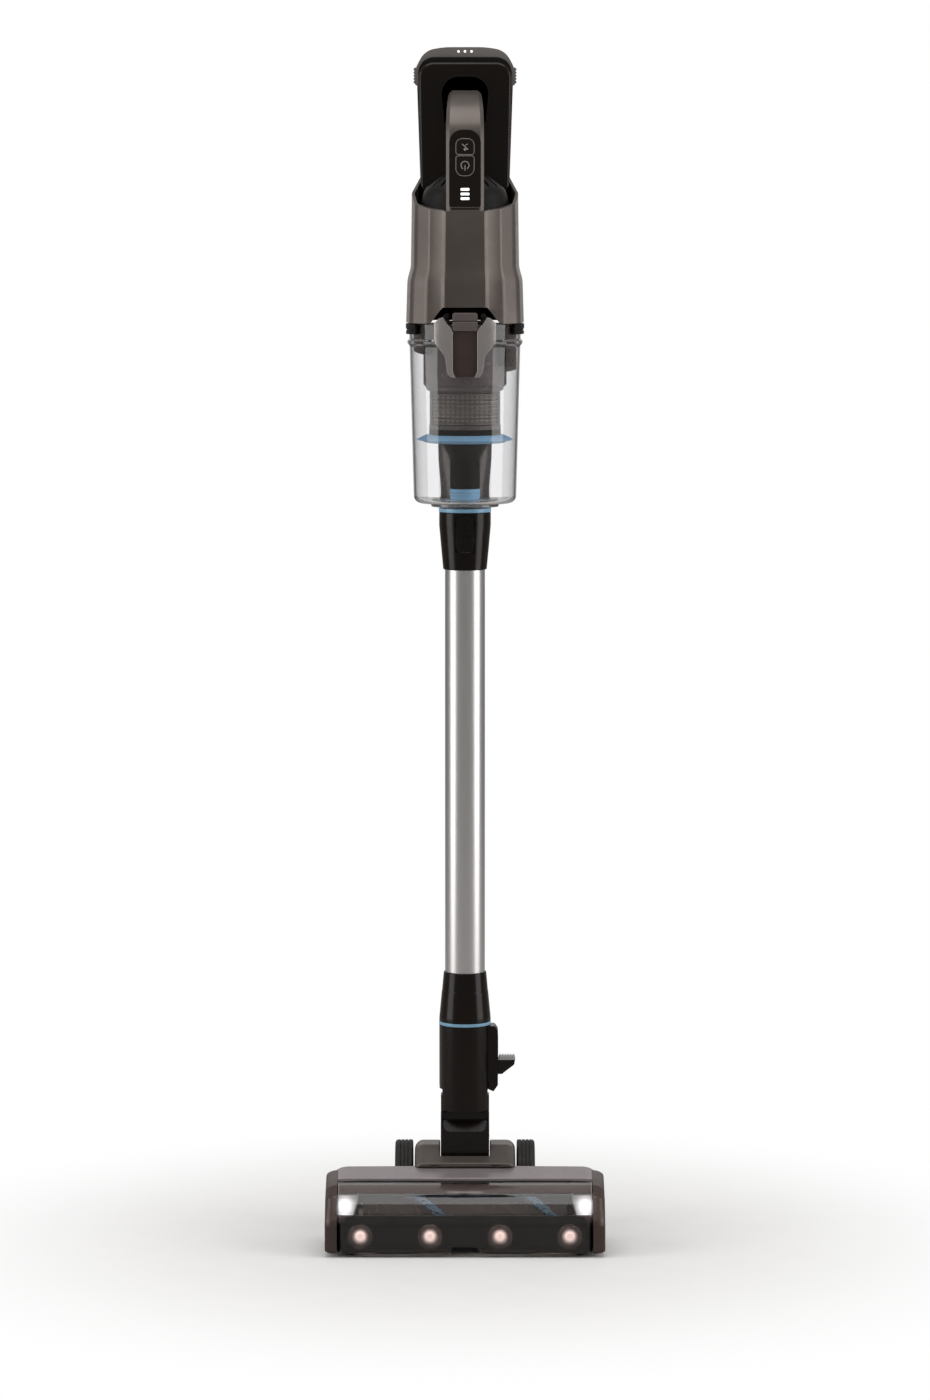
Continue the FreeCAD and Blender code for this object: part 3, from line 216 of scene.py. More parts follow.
def polycarbonate(name, colour, clearest, haziest):
    made, tree, place = new_material(name)
    patches = node(tree, "TexNoise", {"Scale": 1 / (HAZE * MM), "Detail": 5.0}, {"Vector": place})
    haze = node(tree, "MapRange", {"From Min": 0.35, "From Max": 0.7, "To Min": clearest, "To Max": haziest},
                {"Value": patches.outputs["Fac"]})
    lens_body = node(tree, "BsdfPrincipled", {"Base Color": paint(colour), "IOR": 1.58,
                                              "Transmission Weight": 1.0},
                     {"Roughness": haze.outputs[0]})
    let_through = node(tree, "BsdfTransparent", {"Color": paint(colour)})
    ray = node(tree, "LightPath").outputs["Is Shadow Ray"]
    finish(tree, node(tree, "MixShader", links={0: ray, 1: lens_body.outputs[0], 2: let_through.outputs[0]}))
    return made


CLEAR = polycarbonate("clear_polycarbonate", "f6f6f7", 0.01, 0.03)
SMOKED = polycarbonate("smoked_polycarbonate", "d8d2ce", 0.03, 0.07)
SMOKED_DARK = polycarbonate("dark_smoked_polycarbonate", "6f6059", 0.16, 0.24)
print("polycarbonate index 1.58, clear and two depths of smoke")

# %% [markdown]
# The wiper skirt and the seals are silicone, soft and slightly translucent. A little light scattered under
# the surface gives it its milky look.

# %% Silicone
DUST_SPECK = 0.8      # lint that silicone picks up, millimetres
SILICONE, tree, place = new_material("light_blue_silicone")
specks = node(tree, "TexNoise", {"Scale": 1 / (DUST_SPECK * MM), "Detail": 3.0}, {"Vector": place})
soft = node(tree, "MapRange", {"To Min": 0.40, "To Max": 0.58}, {"Value": specks.outputs["Fac"]})
skin = colour_ramp(tree, specks.outputs["Fac"], paint("85b4d6"), paint("92bfdf"))
finish(tree, node(tree, "BsdfPrincipled", {"Subsurface Weight": 0.3, "Subsurface Scale": 1.5 * MM,
                                           "IOR": 1.42},
                  {"Base Color": skin.outputs["Color"], "Roughness": soft.outputs[0]}))

# %% [markdown]
# Steel shows in two places: the turned axle stubs and screws, and the woven filter screen. The turned parts
# have rings of a cutting tool about their axis. The screen is woven of wire: two crossed waves at the
# thread spacing stand for it, drawn at 0.7 mm because the real 0.2 mm mesh is finer than the picture.

# %% Steel
TOOL_MARK, THREAD = 0.25, 0.7             # feed of the lathe tool and spacing of the screen's wires, millimetres
STEEL, tree, place = new_material("turned_steel")
rings = node(tree, "TexWave", {"Scale": 1 / (TOOL_MARK * 20 * MM), "Distortion": 1.5, "Detail": 2.0},
             {"Vector": place})
polish = node(tree, "MapRange", {"To Min": 0.2, "To Max": 0.34}, {"Value": rings.outputs["Fac"]})
finish(tree, node(tree, "BsdfPrincipled", {"Base Color": paint("b9b6b3"), "Metallic": 1.0},
                  {"Roughness": polish.outputs[0]}))

SCREEN, tree, place = new_material("woven_steel_screen")
WAVES_PER_METRE = 1 / (THREAD * MM) / 20  # a wave texture of scale 1 repeats every twentieth of its unit
warp = node(tree, "TexWave", {"bands_direction": "X", "Scale": WAVES_PER_METRE}, {"Vector": place})
weft = node(tree, "TexWave", {"bands_direction": "Z", "Scale": WAVES_PER_METRE}, {"Vector": place})
weave = node(tree, "Math", {"operation": "MULTIPLY"}, {0: warp.outputs["Fac"], 1: weft.outputs["Fac"]})
wire_tone = colour_ramp(tree, weave.outputs[0], paint("a39c98"), paint("c9c3bf"))
wires = node(tree, "Bump", {"Strength": 0.2, "Distance": 0.05 * MM}, {"Height": weave.outputs[0]})
finish(tree, node(tree, "BsdfPrincipled", {"Metallic": 0.85, "Roughness": 0.30},
                  {"Base Color": wire_tone.outputs["Color"], "Normal": wires.outputs[0]}))

# %% [markdown]
# Nylon bristle is a bundle of clear-ish dyed threads. The tufts are real geometry, so the material only adds
# the tone from thread to thread and a soft sheen. Filter foam is open cells of about half a millimetre.

# %% Bristle and foam
THREAD_TONE = 0.6     # how fast the tone changes across a tuft, millimetres
CELL = 1.2            # cell of the filter foam, millimetres
NYLON, tree, place = new_material("dyed_nylon_bristle")
strands = node(tree, "TexNoise", {"Scale": 1 / (THREAD_TONE * MM), "Detail": 2.0}, {"Vector": place})
dye = colour_ramp(tree, strands.outputs["Fac"], paint("5b93c4"), paint("9cc0dd"))
finish(tree, node(tree, "BsdfPrincipled", {"Roughness": 0.45, "Sheen Weight": 0.4, "Sheen Roughness": 0.4},
                  {"Base Color": dye.outputs["Color"]}))

FOAM, tree, place = new_material("open_cell_foam")
cells = node(tree, "TexVoronoi", {"Scale": 1 / (CELL * MM)}, {"Vector": place})
# The foam's grey is painted shade: it is drawn darker towards the middle of each cell, where the bump sinks its
# pit.
cell_pit_shade = colour_ramp(tree, cells.outputs["Distance"], paint("2c2a29"), paint("6a6866"))
pits = node(tree, "Bump", {"Strength": 0.8, "Distance": 0.4 * MM}, {"Height": cells.outputs["Distance"]})
finish(tree, node(tree, "BsdfPrincipled", {"Roughness": 0.95},
                  {"Base Color": cell_pit_shade.outputs["Color"], "Normal": pits.outputs[0]}))

# %% [markdown]
# A lit lamp is a white diode in a small reflector. Its glow is strongest in the middle and dies away towards
# the rim, so each reflector's light falls off with the distance from its own centre line. Printed marks and
# charge bars glow evenly, with the faint mottling of a diffuser sheet.

# %% Lamps


def lamp(name, centre, reach, strength, floor=0.0):
    """Glow that fades from a centre line along Y, in millimetres about the wand's axis."""
    made, tree, place = new_material(name)
    middle = TO_FRAME @ Vector(centre)
    off = node(tree, "VectorMath", {"operation": "SUBTRACT", 1: (middle.x, 0, middle.z)}, {0: place})
    flat = node(tree, "VectorMath", {"operation": "MULTIPLY", 1: (1, 0, 1)}, {0: off.outputs[0]})
    distance = node(tree, "VectorMath", {"operation": "LENGTH"}, {0: flat.outputs[0]})
    fade = node(tree, "MapRange", {"interpolation_type": "SMOOTHERSTEP", "From Max": reach * MM,
                                   "To Min": 1.0,
                                   "To Max": floor}, {"Value": distance.outputs["Value"]})
    power = node(tree, "Math", {"operation": "MULTIPLY", 1: strength}, {0: fade.outputs[0]})
    finish(tree, node(tree, "BsdfPrincipled", {"Base Color": paint("b8b6b4"), "Roughness": 0.25,
                                               "Metallic": 0.6,
                                               "Emission Color": paint("f4f7ff")},
                      {"Emission Strength": power.outputs[0]}))
    return made


PRINT, tree, place = new_material("lit_diffuser_sheet")
mottle = node(tree, "TexNoise", {"Scale": 1 / (0.9 * MM)}, {"Vector": place})
level = node(tree, "MapRange", {"To Min": 0.75, "To Max": 1.05}, {"Value": mottle.outputs["Fac"]})
finish(tree, node(tree, "BsdfPrincipled", {"Base Color": paint("efeeec"), "Roughness": 0.4,
                                           "Emission Color": paint("ffffff")},
                                           {"Emission Strength": level.outputs[0]}))
MARK = moulded("pad_printed_grey", "9d9793", 0.4, drift=0.03)

# %% [markdown]
# Four small tools make nearly every mesh. A round part is a profile turned about its axis. A plate is an
# outline pushed through its thickness. A moulded shell is a loft through sections with equal numbers of
# points. Corners are given with their radius and become arcs, so an outline only lists the points that its
# shape needs.

# %% Mesh tools
ROUND_STEPS = 128     # facets round a full turn


def rounded(corners, steps=6):
    """Points of a closed outline through corners (u, v) or (u, v, radius)."""
    points = []
    for i, corner in enumerate(corners):
        here = Vector(corner[:2])
        radius = corner[2] if len(corner) > 2 else 0.0
        back = (Vector(corners[i - 1][:2]) - here).normalized()
        on = (Vector(corners[(i + 1) % len(corners)][:2]) - here).normalized()
        half = back.angle(on) / 2
        if radius <= 0:
            points.append(here)
        elif half > math.pi / 2 - 1e-3:
            points += [here] * (steps + 1)
        else:
            centre = here + (back + on).normalized() * radius / math.sin(half)
            first = here + back * radius / math.tan(half) - centre
            last = here + on * radius / math.tan(half) - centre
            total = math.pi - 2 * half
            for k in range(steps + 1):
                a, b = math.sin(total * (1 - k / steps)), math.sin(total * k / steps)
                points.append(centre + (first * a + last * b) / math.sin(total))
    return [(p.x, p.y) for p in points]


def loft(rings, around=False):
    """Skin through rings of points; the ends are closed, unless the rings run round in a loop."""
    mesh = bmesh.new()
    rows = [[mesh.verts.new(p) for p in ring] for ring in rings]
    count = len(rows[0])
    pairs = list(zip(rows, rows[1:])) + ([(rows[-1], rows[0])] if around else [])
    for one, two in pairs:
        for i in range(count):
            j = (i + 1) % count
            mesh.faces.new((one[i], one[j], two[j], two[i]))
    if not around:
        mesh.faces.new(rows[0])
        mesh.faces.new(rows[-1])
    return mesh


def slab(corners, plane, low, high, steps=6):
    """Outline pushed from low to high: 'xy' lies flat, 'yz' faces sideways, 'xz' faces the front."""
    place = {"xy": lambda u, v, w: (u, v, w), "yz": lambda u, v, w: (w, u, v), "xz": lambda u, v,
             w: (u, w, v)}[plane]
    points = rounded(corners, steps)
    return loft([[place(u, v, w) for u, v in points] for w in (low, high)])


def turned(corners, centre=(0.0, 0.0), axis="z", start=0.0, sweep=360.0, steps=6):
    """Outline (radius, height) turned about an upright axis, or about a sideways one through (y, z)."""
    points = rounded(corners, steps)
    whole = sweep >= 360
    count = max(3, round(ROUND_STEPS * sweep / 360))
    rings = []
    for i in range(count if whole else count + 1):
        a = math.radians(start + sweep * i / count)
        c, s = math.cos(a), math.sin(a)
        if axis == "z":
            rings.append([(centre[0] + r * c, centre[1] + r * s, h) for r, h in points])
        else:
            rings.append([(h, centre[0] + r * c, centre[1] + r * s) for r, h in points])
    return loft(rings, around=whole)


def together(*meshes):
    """Several meshes as one."""
    whole = bmesh.new()
    for mesh in meshes:
        carrier = bpy.data.meshes.new("carrier")
        mesh.to_mesh(carrier)
        mesh.free()
        whole.from_mesh(carrier)
        bpy.data.meshes.remove(carrier)
    return whole


def mirrored(mesh):
    """A copy on the other side of the cleaner's middle."""
    other = mesh.copy()
    bmesh.ops.scale(other, vec=(-1, 1, 1), verts=other.verts)
    bmesh.ops.reverse_faces(other, faces=other.faces)
    return other


def both(mesh):
    return together(mirrored(mesh), mesh)


def moved(mesh, x=0.0, y=0.0, z=0.0):
    bmesh.ops.translate(mesh, vec=(x, y, z), verts=mesh.verts)
    return mesh


print("tools ready: rounded, loft, slab, turned")

# %% [markdown]
# A finished piece goes through the same steps each time: cut the openings, round the edges with a bevel,
# mark only real corners as sharp so that round faces shade smoothly, and weight the shading so that flat
# faces stay flat. Then it is put on the body that carries it.

# %% From mesh to piece


def as_object(name, mesh):
    bmesh.ops.remove_doubles(mesh, verts=mesh.verts, dist=1e-4)
    bmesh.ops.recalc_face_normals(mesh, faces=mesh.faces)
    mesh.transform(TO_FRAME)
    data = bpy.data.meshes.new(name)
    mesh.to_mesh(data)
    mesh.free()
    made = bpy.data.objects.new(name, data)
    scene.collection.objects.link(made)
    return made


def piece(name, mesh, body, material, replaces=(), bevel=0.0, rounds=3, cuts=(), smooth=32):
    """Turns a mesh in millimetres into a piece of the cleaner. Bevel and cuts are in millimetres too."""
    made = as_object(name, mesh)
    cutters = [as_object("cutter", cut) for cut in cuts]
    for cutter in cutters:
        hole = made.modifiers.new("opening", "BOOLEAN")
        hole.object, hole.operation, hole.solver = cutter, "DIFFERENCE", "EXACT"
    if bevel:
        edge = made.modifiers.new("rounded edges", "BEVEL")
        edge.width, edge.segments, edge.limit_method = bevel * MM, rounds, "ANGLE"
        edge.angle_limit = math.radians(smooth)
    depsgraph = bpy.context.evaluated_depsgraph_get()
    final = bpy.data.meshes.new_from_object(made.evaluated_get(depsgraph), depsgraph=depsgraph)
    made.modifiers.clear()
    made.data = final
    for cutter in cutters:
        bpy.data.objects.remove(cutter)
    final.polygons.foreach_set("use_smooth", [True] * len(final.polygons))
    final.set_sharp_from_angle(angle=math.radians(smooth))
    shading = made.modifiers.new("even shading", "WEIGHTED_NORMAL")
    shading.keep_sharp = True
    final.materials.clear()
    final.materials.append(material)
    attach(made, body)
    if replaces:
        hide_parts(*replaces)
    print(f"{name}: {len(final.polygons)} faces on {body}")
    return made

# %% [markdown]
# ## Floor head
# The top cover is a shelf that slopes up to the back, crowned a little from side to side, with rounded
# shoulders. It is lofted sideways: the same section is repeated from end to end, lower and shorter as it
# comes to the shoulders, so that the rounding is part of the shape and not only of an edge.

# %% Top cover
HEAD_LOW, HEAD_HIGH = edges("head_base")[0].z, edges("head_cover")[1].z
CAP_OUT, CAP_IN = edges("side_cap_right")[1].x, edges("side_cap_right")[0].x
FRONT = edges("front_bumper")[0].y
COVER_FRONT_Y, COVER_BACK_Y = (corner.y for corner in edges("head_cover"))
SHOULDER = 13.0       # radius of the cover's shoulders


def shoulder_drop(x, reach, radius=SHOULDER):
    """How far the cover has come down at distance x from the middle."""
    inside = max(0.0, abs(x) - (reach - radius))
    return radius - math.sqrt(max(0.0, radius ** 2 - inside ** 2))


def cover_section(x, reach):
    drop = shoulder_drop(x, reach) * 0.62
    crown = 0.6 * (1 - (x / reach) ** 2)
    top = HEAD_HIGH - 0.8 + crown - drop
    lip = 66.0 - drop * 0.42
    return [(x, y, z) for y, z in rounded([
        (COVER_FRONT_Y, lip, 1.2), (COVER_BACK_Y, top, 4), (COVER_BACK_Y, 58 - drop * 0.3),
        (COVER_BACK_Y - 3, 58 - drop * 0.3), (COVER_BACK_Y - 3, top - 4, 2),
        (COVER_FRONT_Y + 3, lip - 3.2, 1),
        (COVER_FRONT_Y, lip - 3.6, 1)])]


REACH = CAP_IN + 4.0
stations = [REACH * math.sin(math.radians(a)) for a in range(-90, 91, 3)]
piece("top_cover", loft([cover_section(x, REACH) for x in stations]), "head", SILVER,
      ["head_cover"])

# %% [markdown]
# The side caps close the ends. They are domed: each section outwards is the end profile drawn in by the
# depth of a quarter round, which is how a soft shoulder looks on a moulded cap.

# %% Side caps
CAP_PROFILE = [(FRONT + 0.4, HEAD_LOW + 0.2, 3), (FRONT, 33, 10), (-108.0, 42.5, 6), (-98, 55.0, 8),
               (-82.5, 62.5, 8),
               (COVER_FRONT_Y, 65.4, 4), (COVER_BACK_Y - 3, 69.6, 5), (COVER_BACK_Y, 45, 10),
               (COVER_BACK_Y, HEAD_LOW + 0.2, 5)]
cap_middle = Vector((sum(c[0] for c in CAP_PROFILE), sum(c[1] for c in CAP_PROFILE))) / len(CAP_PROFILE)


def cap_section(angle):
    """Section of the domed cap, from its seam at 0 degrees to its flat outside at 90."""
    draw_in = 7.5 * (1 - math.cos(math.radians(angle)))
    x = CAP_IN + 0.2 + (CAP_OUT - CAP_IN - 0.2) * math.sin(math.radians(angle))
    ring = []
    for y, z in rounded(CAP_PROFILE, 8):
        away = Vector((y, z)) - cap_middle
        lean = 1.0 if z > 30 else 0.45
        inner = cap_middle + away * (1 - lean * draw_in / away.length)
        ring.append((x, inner.x, max(inner.y, HEAD_LOW + 0.2)))
    return ring


for side, turn in (("right", lambda m: m), ("left", mirrored)):
    cap = loft([cap_section(a) for a in range(0, 91, 9)])
    piece("side_cap_" + side, turn(cap), "head", BROWN, ["side_cap_" + side], bevel=0.5)

# %% [markdown]
# The brush is seen through a smoked window: a shell of polycarbonate 2.2 mm thick, curved about the brush.
# A grey rail runs behind its top edge. Under the cover's lip, below the rail, a black strip is painted shade: it
# stands for the shade in the gap there. The bumper under it is a deeper smoke, and bends back at both ends.

# %% Window, rail and bumper
WINDOW = (-70.0, 22.0)                       # the window is curved about this line, y and z
WINDOW_R = 41.4                              # outer radius of its curve, millimetres


def curved_shell(outer, inner, first, last, reach):
    """Part of a tube along the head, between two angles from the front."""
    arc = [math.radians(first + (last - first) * i / 24) for i in range(25)]
    line = [(WINDOW[0] - outer * math.cos(a), WINDOW[1] + outer * math.sin(a)) for a in arc]
    line += [(WINDOW[0] - inner * math.cos(a), WINDOW[1] + inner * math.sin(a)) for a in reversed(arc)]
    return loft([[(x, y, z) for y, z in line] for x in (-reach, reach)])


INSIDE = CAP_IN - 0.3
piece("window", curved_shell(WINDOW_R, WINDOW_R - 2.2, 26, 85, INSIDE), "head", SMOKED,
      ["brush_window"],
      bevel=0.3, rounds=2)
piece("window_rail", curved_shell(WINDOW_R - 2.6, WINDOW_R - 4.4, 60, 84, INSIDE - 1), "head", SILVER,
      bevel=0.4, rounds=2)
# The black strip below the rail is painted shade, standing for the dark gap under the cover's lip.
piece("window_shade_strip", curved_shell(WINDOW_R - 2.6, WINDOW_R - 4.6, 56.4, 59.4, INSIDE - 1), "head", DEEP,
      bevel=0.3, rounds=2)


def bumper_section(x):
    """The bumper's section; its ends bend back round a corner."""
    back = shoulder_drop(x, CAP_IN - 0.3, 11.0) * 0.55
    y, z = WINDOW[0] - WINDOW_R * math.cos(math.radians(25)), WINDOW[1] + WINDOW_R * math.sin(math.radians(25))
    return [(x, v, w) for v, w in rounded([
        (y - 1.6 + back * 0.2, z + 0.1, 1.0), (FRONT + back, 31, 7), (FRONT + 0.4 + back, HEAD_LOW + 2.5, 2),
        (FRONT + 2 + back, HEAD_LOW, 0.5), (FRONT + 5 + back, HEAD_LOW, 0.5), (FRONT + 2.6 + back, 11, 1),
        (FRONT + 2.6 + back, 30, 5), (y + 2.0 + back * 0.2, z - 1.4, 0.4)])]


bumper_stations = [s * x for s, xs in ((-1, (118.7, 117.6, 115.8, 113.4, 110.6, 107.7, 60, 15)),
                                       (1, (15, 60, 107.7, 110.6, 113.4, 115.8, 117.6, 118.7))) for x in xs]
notch = slab([(-14.5, HEAD_LOW - 1), (-11.5, 10.2, 1), (11.5, 10.2, 1), (14.5, HEAD_LOW - 1)], "xz",
             FRONT - 2, FRONT + 8)
piece("bumper", loft([bumper_section(x) for x in bumper_stations]), "head", SMOKED_DARK,
      ["front_bumper"],
      cuts=[notch])

# %% [markdown]
# Four lamps sit behind the bumper and one in each side pod. A lamp is a small bowl: a turned reflector whose
# glow fades from its middle. The pods are white translucent wedges at the ends of the window, and a pale
# trim line runs down their inner edge.

# %% Lamps and pods
LAMP_X, LAMP_Z, BOWL_R = (32.6, 97.4), 19.5, 11.5


def bowl(x, y, z, radius):
    """A shallow reflector that faces the front."""
    dish = turned([(0, 0), (radius * 0.35, 0.3), (radius * 0.8, -1.2), (radius, -2.6), (radius, -1.4),
                   (radius * 0.8, 0.2), (0, 1.4)], steps=2)
    bmesh.ops.rotate(dish, matrix=Matrix.Rotation(math.radians(-90), 3, "X"), verts=dish.verts)
    return moved(dish, x, y, z)


for x in LAMP_X:
    for side, sign in (("left", -1), ("right", 1)):
        name = f"lamp_{side}_{'inner' if x == LAMP_X[0] else 'outer'}"
        glow = lamp(name + "_glow", (sign * x, 0, LAMP_Z), BOWL_R * 0.8, 7.0)
        piece(name, bowl(sign * x, FRONT + 6.0, LAMP_Z, BOWL_R), "head", glow)
piece("bumper_backing", slab([(-112, HEAD_LOW + 1.5, 3), (112, HEAD_LOW + 1.5, 3), (112, 37, 3),
                              (-112, 37, 3)], "xz",
                             FRONT + 8.2, FRONT + 9.4), "head", BROWN, bevel=0.4,
      cuts=[slab([(-15.5, HEAD_LOW), (-12.5, 11, 1), (12.5, 11, 1), (15.5, HEAD_LOW)], "xz", FRONT,
                 FRONT + 12)])

POD = [(-106.0, 32.0, 2), (-105.0, 40, 4), (-99.0, 49.8, 6), (-86.0, 56.6, 3), (-84, 31.0, 2)]
pod_ring = rounded(POD)
POD_LIGHT = lamp("side_pod_glow", (112.0, 0, 45.5), 13.0, 1.6, floor=0.08)
POD_LIGHT_LEFT = lamp("side_pod_glow_left", (-112.0, 0, 45.5), 13.0, 1.6, floor=0.08)
for side, turn, glow in (("right", lambda m: m, POD_LIGHT), ("left", mirrored, POD_LIGHT_LEFT)):
    wedge = loft([[(100.5 + 6.5 * max(0, (48 - z) / 18), y, z) if x == 0 else (118.0, y, z) for y,
                   z in pod_ring]
                  for x in (0, 1)])
    piece("light_pod_" + side, turn(wedge), "head", glow,
          ["light_pods"] if side == "right" else (),
          bevel=1.0)
    trim = loft([[(99.6 + 7.0 * max(0, (48 - z) / 18) + dx, y * 1.004, z * 1.006) for dx in (0, 0.9)]
                 + [(99.6 + 7.0 * max(0, (48 - z) / 18) + dx, y * 1.004 + 1.2,
                     z * 1.006 - 0.8) for dx in (0.9, 0)]
                 for y, z in [(-105.4, 34.0), (-104.6, 40.5), (-102.4, 45.5), (-99.0, 50.0), (-93.5, 54.0),
                              (-86, 57.2)]])
    piece("pod_trim_" + side, turn(trim), "head", BRIGHT, bevel=0.2, rounds=2)
print("four lamps, two side pods and their trim")

# %% [markdown]
# The brush roll is a hollow core with two bands of bristle that wind once round it between them. Each tuft
# is a tapered bundle of its own, leaning a little at random, and the core carries low helical ribs that
# follow the same winding.

# %% Brush roll
CORE_R, TIP_R, ROLL = 24.0, 28.8, 95.0
PITCH = 2 * ROLL / 0.92                   # one full turn of a bristle band along the roll
BAND_TOP = (-64.0, -64.0 + PITCH / 2)     # where each band passes over the top


def roll_point(x, angle, radius):
    """A point of the roll: the angle is measured from the top towards the front."""
    return (x, BRUSH_Y - radius * math.sin(angle), BRUSH_Z + radius * math.cos(angle))


def core_ring(x):
    ring = []
    for i in range(96):
        a = 2 * math.pi * i / 96
        rib = max(0.0, math.cos(6 * (a - 2 * math.pi * (x - BAND_TOP[0]) / PITCH))) ** 6
        ring.append(roll_point(x, a, CORE_R - 1.2 + 1.0 * rib))
    return ring


core = loft([core_ring(-ROLL + 2 * ROLL * i / 120) for i in range(121)])
piece("brush_core", core, "brush_roll", CYCLONE, ["brush_core"])

dice = random.Random(7)
tufts = bmesh.new()
TUFT_STEP, TUFT_ROWS = 1.5, (-2.2, -0.75, 0.75, 2.2)
for top in BAND_TOP:
    for i in range(int(2 * (ROLL - 2) / TUFT_STEP)):
        for row in TUFT_ROWS:
            x = -ROLL + 2 + i * TUFT_STEP + row
            if abs(x) > ROLL - 1:
                continue
            angle = 2 * math.pi * (x - row - top) / PITCH - row * 0.02
            splay = dice.uniform(-0.035, 0.035)
            lean = dice.uniform(-0.5, 0.5)
            height = TIP_R - dice.uniform(0.0, 0.5)
            foot = Vector(roll_point(x, angle, CORE_R - 1.6))
            tip = Vector(roll_point(x + lean, angle + splay, height))
            along = (tip - foot).normalized()
            side_one = along.orthogonal().normalized()
            side_two = along.cross(side_one)
            rows = []
            for centre, radius in ((foot, 0.85), (tip, 1.05)):
                rows.append([tufts.verts.new(centre + (side_one * math.cos(k * math.tau / 6)
                                                       + side_two * math.sin(k * math.tau / 6)) * radius)
                             for k in range(6)])
            for k in range(6):
                tufts.faces.new((rows[0][k], rows[0][(k + 1) % 6], rows[1][(k + 1) % 6], rows[1][k]))
            tufts.faces.new(rows[0])
            tufts.faces.new(rows[1])
piece("bristle_tufts", tufts, "brush_roll", NYLON, ["brush_bristles"])

# %% [markdown]
# Wheels: a moulded hub with a rubber tyre. Real tyres of this size have shallow rings in the tread so that
# they grip a hard floor, and a bead where they meet the hub.

# %% Wheels and rollers
TYRE_R = edges("tyre_right")[1].z - AXLE_Z
TYRE_IN, TYRE_OUT = edges("tyre_right")[0].x, edges("tyre_right")[1].x


def tread():
    """Tyre section: (radius, distance along the axle), with three grooves round it."""
    corners = [(TYRE_R - 5.8, TYRE_IN, 0.6), (TYRE_R, TYRE_IN, 1.6)]
    for i in range(3):
        x = TYRE_IN + 4.5 + i * 3.6
        corners += [(TYRE_R, x - 0.6, 0.2), (TYRE_R - 0.8, x - 0.3, 0.1), (TYRE_R - 0.8, x + 0.3, 0.1),
                    (TYRE_R, x + 0.6, 0.2)]
    return corners + [(TYRE_R, TYRE_OUT, 3.2), (TYRE_R - 5.8, TYRE_OUT, 0.6)]


def hub():
    """Hub section with a dished outside face."""
    return [(4.1, TYRE_IN + 1), (TYRE_R - 5.9, TYRE_IN + 1, 0.5), (TYRE_R - 5.9, TYRE_OUT - 0.6, 0.8),
            (TYRE_R - 9.5, TYRE_OUT - 0.4, 0.8), (TYRE_R - 11, TYRE_OUT - 5, 1.5), (11, TYRE_OUT - 5.4, 1.5),
            (9.5, TYRE_OUT - 0.8, 0.8), (4.1, TYRE_OUT - 0.4, 0.4)]


def spoke_openings():
    return [moved(turned([(0, TYRE_IN - 2), (5.2, TYRE_IN - 2), (5.2, TYRE_OUT + 2), (0, TYRE_OUT + 2)],
                         (AXLE_Y + 22 * math.cos(a), AXLE_Z + 22 * math.sin(a)), axis="x"))
            for a in [math.radians(60 * i) for i in range(6)]]


for side, turn in (("right", lambda m: m), ("left", mirrored)):
    piece("tyre_" + side, turn(turned(tread(), (AXLE_Y, AXLE_Z), axis="x", steps=3)), side + "_wheel",
          RUBBER,
          ["tyre_" + side])
    holes = [turn(hole) for hole in spoke_openings()]
    piece("wheel_" + side, turn(turned(hub(), (AXLE_Y, AXLE_Z), axis="x", steps=3)), side + "_wheel",
          SATIN,
          ["wheel_" + side], cuts=holes)
    low, high = edges("front_roller_" + side)
    centre = ((low.y + high.y) / 2, (low.z + high.z) / 2)
    roller = turned([(1.6, low.x), (high.z - centre[1], low.x, 1.2), (high.z - centre[1], high.x, 1.2),
                     (1.6, high.x)],
                    centre, axis="x")
    piece("roller_" + side, roller, side + "_roller", RUBBER, ["front_roller_" + side])

# %% [markdown]
# The yoke carries the neck between two hub fairings and ties them together with a bar that lies over the
# cover. Both fairings are lofted outwards and drawn in at the outside like the side caps, which gives them
# the soft dark shoulder of the real moulding.

# %% Yoke
YOKE_IN = 23.6                            # inner face of each fairing, millimetres
YOKE_SIDE = [(-46, 72.4, 1), (-46, 75.6, 2), (-14, 88.0, 12), (8, 88.7, 12), (34, 76, 14), (43.6, 45, 16),
             (32, 12.4, 8),
             (-35.0, 12.4, 2), (-35.0, 73.6, 1)]
yoke_middle = Vector((0, 50))


def yoke_section(x, draw_in, top_only=1.0):
    ring = []
    for y, z in rounded(YOKE_SIDE, 8):
        away = Vector((y, z)) - yoke_middle
        shrink = draw_in if z > 60 else draw_in * top_only
        inner = yoke_middle + away * (1 - shrink / away.length)
        ring.append((x, inner.x, inner.y))
    return ring


arm = loft([yoke_section(YOKE_IN, 1.0), yoke_section(YOKE_IN + 1.0, 0.0), yoke_section(39.5, 0.0)]
           + [yoke_section(39.5 + 8.1 * math.sin(math.radians(a)), 9.0 * (1 - math.cos(math.radians(a))), 0.3)
              for a in range(15, 91, 15)])
hollow = slab([(-31, 10), (-31, 66, 4), (-13, 78, 4), (7, 79, 4), (29, 68, 6), (37, 46, 8), (28, 10)],
              "yz", 27, 44.0)
pin_hole = turned([(0, 20), (4.05, 20), (4.05, 50), (0, 50)], (AXLE_Y, AXLE_Z), axis="x")
boss = turned([(4.05, 26.5), (8.6, 26.5), (8.6, 44.5), (4.05, 44.5)], (AXLE_Y, AXLE_Z), axis="x")
for side, turn in (("right", lambda m: m), ("left", mirrored)):
    one, void, hole, seat = (turn(m.copy()) for m in (arm, hollow, pin_hole, boss))
    piece("yoke_arm_" + side, one, "head", GUNMETAL, ["pivot_yoke"] if side == "right" else (),
          cuts=[void, hole], bevel=0.5)
    piece("yoke_boss_" + side, seat, "head", GUNMETAL, bevel=0.3)
